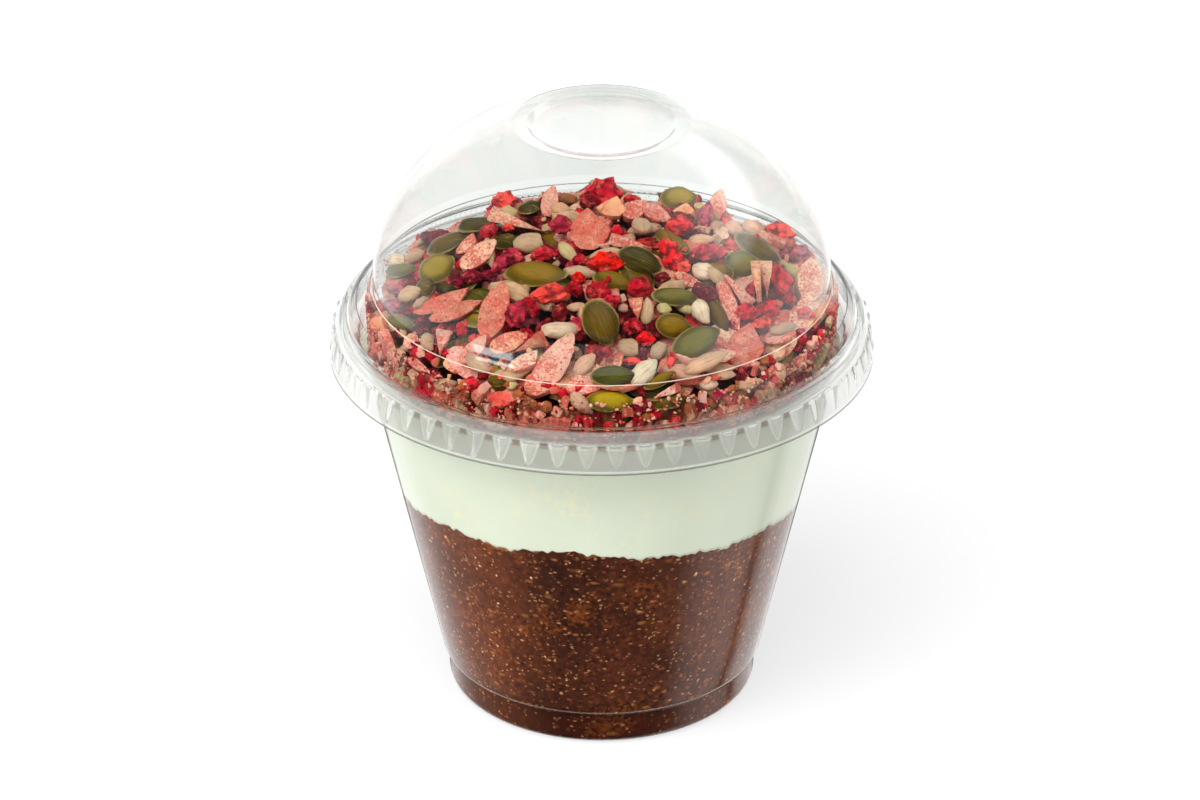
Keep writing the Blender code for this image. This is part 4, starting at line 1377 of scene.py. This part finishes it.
def picked_lie(kind, long_pixels, wide_pixels, degrees, pose, x, y):
    """The turn and sizes that give a picked-out piece its outline in the picture."""
    turn = math.radians(degrees)
    across = RIGHT * math.cos(turn) + UP * math.sin(turn)
    half = KINDS[kind][:3]
    if pose == "edge":
        normal = UP * math.cos(turn) - RIGHT * math.sin(turn)
        along = across
    else:
        share = 0.35 if pose == "face" else 0.85
        normal = heap_normal(x, y) * share - FORWARD * (1 - share)
        normal /= np.linalg.norm(normal)
        lean = -(across @ normal) / (FORWARD @ normal)
        along = across + FORWARD * max(-1.0, min(1.0, lean))
        along /= np.linalg.norm(along)
        normal = normal - along * (normal @ along)
        normal /= np.linalg.norm(normal)
    wide = np.cross(normal, along)
    seen_long = math.sqrt(1 - (along @ FORWARD) ** 2)
    seen_wide = math.sqrt(max(1 - (wide @ FORWARD) ** 2, 0.12))
    length = min(long_pixels / 2 / PIXELS_PER_MM / seen_long, half[0] * 1.42)
    if pose == "edge":
        width, thickness = half[1] * 0.8, max(half[2], wide_pixels / 2 / PIXELS_PER_MM * 0.8)
    else:
        width = min(wide_pixels / 2 / PIXELS_PER_MM / seen_wide, half[1] * 1.4)
        thickness = half[2] if kind in ("pumpkin_seed", "almond_flake") else width * half[2] / half[1]
    return Lie(kind, np.stack((along, wide, normal), axis=1), (length, width, thickness))


def sight_point(across, down, z):
    """Where the line of sight through a pixel is at height z."""
    ray = FORWARD + RIGHT * (across - PICTURE_WIDTH / 2) / PIXELS_AT_ONE
    ray = ray - UP * (down - PICTURE_HEIGHT / 2) / PIXELS_AT_ONE
    return EYE + ray * (z - EYE[2]) / ray[2]


def in_picture(x, y, z, lie):
    """The cells, two pixels wide, of the piece's outline in the picture."""
    place = np.array((x, y, z)) - EYE
    scale = PIXELS_AT_ONE / (place @ FORWARD) / 2
    middle = np.array((PICTURE_WIDTH / 4 + place @ RIGHT * scale, PICTURE_HEIGHT / 4 - place @ UP * scale))
    flat = np.stack((RIGHT, -UP)) * scale
    spread = flat @ lie.spread @ flat.T
    form = np.linalg.inv(spread)
    reach = np.sqrt(np.diag(spread))
    (u0, v0), (u1, v1) = (middle - reach).astype(int), (middle + reach).astype(int) + 2
    u, v = np.meshgrid(np.arange(u0, u1) - middle[0], np.arange(v0, v1) - middle[1], indexing="ij")
    inside = form[0, 0] * u * u + 2 * form[0, 1] * u * v + form[1, 1] * v * v < 1
    return (slice(u0, u1), slice(v0, v1)), inside


def skyline():
    """The heap's outline: the highest row that the picked-out pieces reach in each column of cells."""
    columns = np.arange(PICTURE_WIDTH // 2) * 2.0
    top = np.full(len(columns), float(PICTURE_HEIGHT))
    for _, across, down, length, width, turn, *_ in sum(PICKED.values(), ()):
        cos, sin = math.cos(math.radians(turn)), math.sin(math.radians(turn))
        wide = math.hypot(length / 2 * cos, width / 2 * sin) + 4.0
        high = math.hypot(length / 2 * sin, width / 2 * cos)
        share = 1 - ((columns - across) / wide) ** 2
        row = (down - high * np.sqrt(np.maximum(share, 0.0))) / 2
        top = np.where(share > 0, np.minimum(top, row), top)
    return np.where(top < PICTURE_HEIGHT, top, 0.0)


def lay_picked(heap):
    """Lays the picked-out pieces along their lines of sight, the far ones first.

    A piece that the lid would press down into the heap is made smaller.
    """
    rows = [(kind, *row, "face")[:8] for kind in PICKED for row in PICKED[kind]]
    for kind, tone, across, down, length, width, turn, pose in sorted(rows, key=lambda row: row[3]):
        for size in (1.0, 0.92, 0.84, 0.76):
            z = HEAP_TOP + 4.0
            for _ in range(70):
                x, y, _ = sight_point(across, down, z)
                lie = picked_lie(kind, length * size, width * size, turn, pose, x, y)
                if lie.fits(x, y, z) and z <= heap.rest(x, y, lie):
                    break
                z -= 0.4
            if heap.rest(x, y, lie) - z < 1.0:
                break
        if z > CREAM_TOP + 1.0:
            heap.lay(x, y, z, lie, tone, keep=True)


def lay_random(heap, kinds, count, draw, proud, size=1.0, overlap=1.0):
    """Drops pieces where the heap is lowest; overlap is how much of one may hide picked pieces."""
    tries = 12
    for _ in range(count):
        missing = np.where(heap.inside, np.maximum(heap.target - heap.height, 0.0), 0.0) ** 2
        total = np.cumsum(missing)
        best = None
        kind = draw.choice(kinds)
        for _ in range(tries):
            cell = int(np.searchsorted(total, draw.random() * total[-1]))
            x, y = float(heap.x.flat[cell]), float(heap.y.flat[cell])
            lie = random_lie(kind, x, y, draw, size)
            inner = room(HEAP_EDGE) - lie.reach(x, y)
            radius = math.hypot(x, y)
            if radius > inner:
                x, y = x * inner / radius, y * inner / radius
            z = heap.rest(x, y, lie)
            if not lie.fits(x, y, z) or heap.hides(x, y, z, lie) > overlap:
                continue
            rise = z + 0.6 * lie.rise - float(heap_height(math.hypot(x, y)))
            if rise < proud and (best is None or rise < best[0]):
                best = (rise, x, y, z, lie)
        if best:
            _, x, y, z, lie = best
            heap.lay(x, y, z, lie, any_tone(kind, draw))


def lay_round_edge(heap, draw, count):
    """Fills the trough between the heap and the wall with small pieces laid along it."""
    kinds = ("berry_bit", "sunflower_kernel", "sunflower_kernel", "fruit_chunk", "nib", "almond_flake",
             "almond_flake")
    for _ in range(count):
        angle, kind = draw.uniform(0, math.tau), draw.choice(kinds)
        out = np.array((math.cos(angle), math.sin(angle), 0.0))
        grow = draw.uniform(0.66, 0.95)
        normal = leaned(out * 0.5 + np.array((0.0, 0.0, 0.86)), draw, 16)
        along = np.cross(normal, out) + out * draw.gauss(0, 0.35)
        lie = Lie(kind, axes_along(along, normal), half_sizes(kind, grow))
        radius = room(HEAP_EDGE) - lie.reach(out[0], out[1]) - 0.1 - abs(draw.gauss(0, 0.7))
        x, y = float(out[0] * radius), float(out[1] * radius)
        z = heap.rest(x, y, lie)
        low = z + 0.6 * lie.rise < float(heap_height(radius)) + 0.6
        if low and lie.fits(x, y, z) and heap.hides(x, y, z, lie) <= 1.0:
            heap.lay(x, y, z, lie, any_tone(kind, draw))


def lay_at_wall(heap, draw):
    """Stands pieces against the wall between the cream and the dome's foot."""
    taken = [(place, max(lie.sizes[:2])) for lie, place, _ in heap.laid if place[2] < HEAP_EDGE - 1.0]
    kinds = ("almond_flake", "almond_flake", "pumpkin_seed", "sunflower_kernel", "sunflower_kernel",
             "berry_bit", "fruit_chunk", "nib", "nib", "nib")
    for _ in range(WALL_PIECES * 8):
        if len(taken) > WALL_PIECES:
            break
        angle, z = draw.uniform(0, math.tau), draw.uniform(CREAM_TOP + 1.4, HEAP_EDGE + 0.6)
        out = np.array((math.cos(angle), math.sin(angle), 0.0))
        kind = draw.choice(kinds)
        sizes = half_sizes(kind, draw.uniform(0.7, 0.95))
        turn = draw.gauss(0, 0.5) if kind != "nib" else draw.uniform(0, math.tau)
        level = np.cross((0.0, 0.0, 1.0), out)
        along = level * math.cos(turn) + np.array((0.0, 0.0, 1.0)) * math.sin(turn)
        lie = Lie(kind, axes_along(along, leaned(out, draw, 14)), sizes)
        radius = room(z + 0.5 * lie.rise) - lie.reach(*out[:2]) - 0.1
        place = np.array((out[0] * radius, out[1] * radius, z))
        if z - lie.rise < CREAM_TOP + 0.1:
            continue
        if any(np.linalg.norm(place - other) < 0.5 * (size + max(sizes[:2])) for other, size in taken):
            continue
        if heap.hides(*place, lie) > 0.15:
            continue
        taken.append((place, max(sizes[:2])))
        heap.laid.append((lie, tuple(place), any_tone(kind, draw)))


def lay_crumbs(heap, draw):
    """Fine crumbs over the heap, thicker near its edge, and down the wall."""
    for _ in range(CRUMBS):
        if draw.random() < 0.7:
            radius = CRUMBS_RADIUS * math.sqrt(draw.random())
        else:
            radius = draw.uniform(36.0, CRUMBS_RADIUS)
        angle = draw.uniform(0, math.tau)
        x, y = radius * math.cos(angle), radius * math.sin(angle)
        lie = random_lie("crumb", x, y, draw, draw.choice((0.7, 0.9, 1.2, 1.7)))
        z = heap.rest(x, y, lie) - 0.2
        if lie.fits(x, y, z) and heap.hides(x, y, z, lie) < (1.1 if draw.random() < 0.2 else 0.3):
            heap.laid.append((lie, (x, y, z), any_tone("crumb", draw)))
    for _ in range(WALL_CRUMBS):
        angle, z = draw.uniform(0, math.tau), draw.uniform(CREAM_TOP + 0.6, COLLAR_HEIGHT - 0.8)
        lie = random_lie("crumb", 40, 0, draw, draw.choice((0.5, 0.7, 0.9, 1.3)))
        radius = room(z) - lie.reach(math.cos(angle), math.sin(angle)) - 0.05
        place = (radius * math.cos(angle), radius * math.sin(angle), z)
        if heap.hides(*place, lie) <= 1.0:
            heap.laid.append((lie, place, any_tone("crumb", draw)))


def build_core(material):
    """The inside of the heap, a little below the loose pieces, painted dark as its shade."""
    rings = [CORE_RADIUS * step / 12 for step in range(13)]
    outline = [(r, float(heap_height(r)) - CORE_DEPTH) for r in rings]
    outline += [(CORE_RADIUS + 2.0, HEAP_EDGE - 3.6), (CORE_RADIUS + 2.6, CREAM_TOP + 3.0)]
    outline += [(CORE_RADIUS + 2.9, CREAM_TOP + 0.2)]
    outline += [(CORE_RADIUS * 0.5, CREAM_TOP + 0.2), (0.0, CREAM_TOP + 0.2)]
    core = turn_outline("heap_core", outline, 120)
    roughen(core, "CLOUDS", 3.0, 1.6, mid_level=0.6)
    smooth_by(core, 60)
    dress(core, material, "seed_topping")


def lay_topping():
    """Decides where every loose piece lies."""
    draw = random.Random(SEED)
    heap = Heap()
    mixture = ["pumpkin_seed"] * 5 + ["almond_flake"] * 5 + ["sunflower_kernel"] * 4
    mixture += ["berry_bit"] * 12 + ["fruit_chunk"]
    below = heap.target.copy()
    heap.target = below - 3.0
    lay_random(heap, mixture, LOOSE_BELOW, draw, -1.4)
    heap.target = below
    lay_round_edge(heap, draw, EDGE_PIECES)
    lay_picked(heap)
    lay_random(heap, mixture, LOOSE_ABOVE, draw, 0.9, overlap=0.14)
    lay_random(heap, ["nib", "nib", "berry_bit"], FILL_NIBS, draw, 0.2, size=0.8, overlap=0.1)
    lay_at_wall(heap, draw)
    lay_crumbs(heap, draw)
    return heap.laid


def copy_pieces(kind, material, laid):
    """Copies the modelled pieces to their places and joins them to one mesh for the kind."""
    modeller, count = MODELLERS[kind]
    models = [modeller(number) for number in range(count)]
    for model in models:
        note_edges(model, kind)
        note_length(model)
        model.data.materials.append(material)
    draw = random.Random(len(kind))
    copies = []
    for lie, place, tone in laid:
        if lie.kind != kind:
            continue
        mesh = draw.choice(models).data.copy()
        scale = lie.sizes / np.array(KINDS[kind][:3])
        matrix = Matrix.Translation(Vector(place) * MM) @ Matrix(lie.axes * scale).to_4x4()
        mesh.transform(matrix)
        shade = draw.uniform(0.9, 1.06)
        colour = [min(value * shade * draw.uniform(0.94, 1.06), 1.0) for value in TONES[tone][:3]]
        layer = mesh.attributes.new("tone", "FLOAT_COLOR", "POINT")
        layer.data.foreach_set("color", np.tile(colour + [1.0], len(mesh.vertices)))
        copy = bpy.data.objects.new(kind, mesh)
        bpy.context.scene.collection.objects.link(copy)
        copies.append(copy)
    take(*copies)
    bpy.ops.object.join()
    joined = bpy.context.object
    joined.name = kind + "s"
    joined.data.name = joined.name
    for model in models:
        bpy.data.objects.remove(model, do_unlink=True)
    dress(joined, material, "seed_topping")


# Studio.


def build_floor():
    bpy.ops.mesh.primitive_plane_add(size=8.0)
    floor = new_piece("studio_floor")
    bpy.ops.mesh.subdivide(number_cuts=3)
    to_mode("OBJECT")
    skin = Skin("pale_paper", Specular_IOR_Level=0.1, Emission_Color=(1, 1, 1, 1),
                Emission_Strength=FLOOR_GLOW)
    skin.fill(skin.shader, "Base Color", skin.mottle((0.24, 0.24, 0.24, 1.0), 8.0, 0.004))
    fibres = skin.noise(skin.own, 900.0, 3.0)
    skin.fill(skin.shader, "Roughness", skin.ranged(fibres, 0.3, 0.7, 0.7, 0.85))
    floor.data.materials.append(skin.material)
    floor.visible_glossy = False


def build_world():
    """White all round. What the plastic mirrors is dim behind the viewer and bright beside and
    behind the cup, with a soft strip up on the right; what the food mirrors is bright above.
    """
    world = bpy.data.worlds.new("white_studio")
    bpy.context.scene.world = world
    world.use_nodes = True
    sky = Nodes(world.node_tree)
    x, y, z = sky.put("SeparateXYZ", {"Vector": sky.put("TexCoord").outputs["Generated"]}).outputs

    # Above the horizon: bright beside and behind the cup, dimmer low on the right, and a strip.
    beside = sky.maths("ADD", y, sky.maths("MAXIMUM", sky.times(x, -0.62), sky.times(x, 1.9)))
    on_right = sky.ranged(x, 0.1, 0.4)
    dim = sky.times(sky.between(z, 0.0, 0.1, 0.38, 0.5), on_right)
    around = sky.times(sky.ranged(beside, 0.3, 1.25, 0.04, 1.0), sky.ranged(dim, 0.0, 1.0, 1.0, 0.75))
    around = sky.maths("ADD", around, sky.ranged(y, 0.78, 0.9, 0.0, 0.6))
    strip = sky.times(sky.between(z, 0.42, 0.54, 0.64, 0.78), on_right)
    strip = sky.times(strip, sky.ranged(y, -0.4, 0.2, 0.0, 1.5))
    above = sky.either(sky.ranged(z, -0.42, -0.45), sky.maths("ADD", around, strip), 0.03)

    # Below it: the levels by azimuth, and the two panes of the window on the left.
    turn = sky.maths("DIVIDE", sky.maths("ARCTAN2", x, y), math.tau)
    ring = sky.put("ValToRGB", {"Fac": sky.maths("ADD", turn, 0.5)})
    for azimuth, level in BELOW_LEVELS:
        stop = ring.color_ramp.elements.new(azimuth / 360 + 0.5)
        stop.color = (level / 1.2, level / 1.2, level / 1.2, 1.0)
    ring.color_ramp.elements[0].color = ring.color_ramp.elements[-1].color = (0.03, 0.03, 0.03, 1.0)
    below = sky.times(ring.outputs["Color"], 1.2)
    mirrored = sky.either(sky.ranged(z, -0.5, -0.53), above, below)

    def band(value, low, high, soft):
        return sky.between(value, low - soft, low + soft, high - soft, high + soft)

    panes = sky.maths("ADD", band(z, -0.365, -0.27, 0.01), band(z, -0.45, -0.4, 0.006))
    window = sky.times(band(turn, -136 / 360, -115 / 360, 0.004), panes)
    mirrored = sky.maths("ADD", mirrored, sky.times(window, WINDOW_LEVEL))

    # Which of the levels a ray takes depends on how it got here.
    backdrop = sky.times(sky.ranged(y, 0.0, 0.5), sky.ranged(z, 0.3, 0.1))
    sheen = sky.maths("MAXIMUM", sky.ranged(z, 0.74, 0.95, 0.14, 1.3), backdrop)
    path = sky.put("LightPath").outputs
    inside = sky.maths("GREATER_THAN", path["Transmission Depth"], 3.5)
    bounced = sky.maths("MINIMUM", path["Glossy Depth"], 1.0)
    diffused = sky.maths("MINIMUM", path["Diffuse Depth"], 1.0)
    sharp = sky.maths("MAXIMUM", path["Is Camera Ray"], path["Is Transmission Ray"])
    sharp = sky.maths("MAXIMUM", sharp, path["Is Glossy Ray"])
    seen = sky.either(bounced, 1.0, sky.either(inside, mirrored, sheen))
    seen = sky.either(diffused, seen, AMBIENT_THROUGH_PLASTIC)
    background = world.node_tree.nodes["Background"]
    sky.fill(background, "Strength", sky.either(sharp, AMBIENT, seen))
    sky.fill(background, "Color", (1, 1, 1, 1))


def build_softbox(name, azimuth, elevation, size, level):
    """A square soft light aimed at the cup; level is its brightness, where the white floor is 1."""
    turn, lift = math.radians(azimuth), math.radians(elevation)
    way = Vector((math.sin(turn) * math.cos(lift), math.cos(turn) * math.cos(lift), math.sin(lift)))
    bpy.ops.object.light_add(type="AREA", location=Vector((0, 0, LIGHTS_AIM * MM)) + way * LIGHTS_DISTANCE)
    lamp = bpy.context.object
    lamp.name = name
    lamp.rotation_euler = way.to_track_quat("Z", "Y").to_euler()
    lamp.data.shape = "RECTANGLE"
    lamp.data.size = lamp.data.size_y = size
    lamp.data.energy = level * math.pi * size * size
    lamp.visible_camera = lamp.visible_transmission = lamp.visible_glossy = False


def build_camera():
    bpy.ops.object.camera_add(location=Vector(EYE) * MM, rotation=(math.pi / 2 - CAMERA_ELEVATION, 0, 0))
    camera = bpy.context.object
    camera.name = "picture_camera"
    camera.data.sensor_width = SENSOR_WIDTH
    camera.data.lens = PIXELS_AT_ONE * SENSOR_WIDTH / PICTURE_WIDTH
    camera.data.clip_start = 0.01
    bpy.context.scene.camera = camera


def main():
    bpy.context.scene.view_settings.view_transform = "Standard"
    for make in (make_mottle, make_powder, make_specks, make_grain):
        make()
    build_camera()
    build_world()
    build_softbox("overhead_softbox", 205, 62, 0.9, 7.2)
    build_softbox("left_key", 236, 30, 0.8, 4.5)
    build_softbox("right_fill", 114, 22, 0.7, 3.4)
    clear_choice()
    build_floor()
    # The stacking step's line is a painted highlight.
    step_painted_highlight = clear_plastic("stacking_step_line", (0.95, 0.66, 0.4), 0.1, clear=0.86)
    build_cup(clear_plastic("clear_cup_plastic", (0.98, 0.985, 0.98), 0.02), step_painted_highlight)
    build_lid(clear_plastic("clear_lid_plastic", (0.942, 0.966, 0.945), 0.02),
              clear_plastic("thin_edge_plastic", (0.96, 0.97, 0.96), 0.02, ior=1.14),
              clear_plastic("ribbed_ledge_plastic", (0.95, 0.965, 0.95), 0.03, painted_light=rib_painted_shade, ior=1.3),
              # The skirt's dark grey tint is painted shade on its front; its painting makes it paler at the
              # sides and the back.
              clear_plastic("frosted_skirt_plastic", (0.6, 0.595, 0.57), 0.1, clear=0.84,
                            shade=(0.6, 0.6, 0.6), painted_light=flute_painted_light_and_shade, ior=1.31),
              # The dome foot's line is a painted highlight.
              clear_plastic("dome_foot_line", (0.93, 0.76, 0.62), 0.1, clear=0.6))
    build_layers(pudding_material(), cream_material())
    build_core(core_material())
    materials = {
        "pumpkin_seed": pumpkin_material(),
        "sunflower_kernel": kernel_material(),
        "almond_flake": flake_material(),
        "berry_bit": berry_material(),
        "fruit_chunk": chunk_material("dried_fruit", paint(226, 96, 76)),
        "nib": chunk_material("broken_nibs", paint(220, 120, 104)),
        "crumb": chunk_material("berry_crumbs", paint(236, 150, 140)),
    }
    laid = lay_topping()
    for kind, material in materials.items():
        copy_pieces(kind, material, laid)


main()
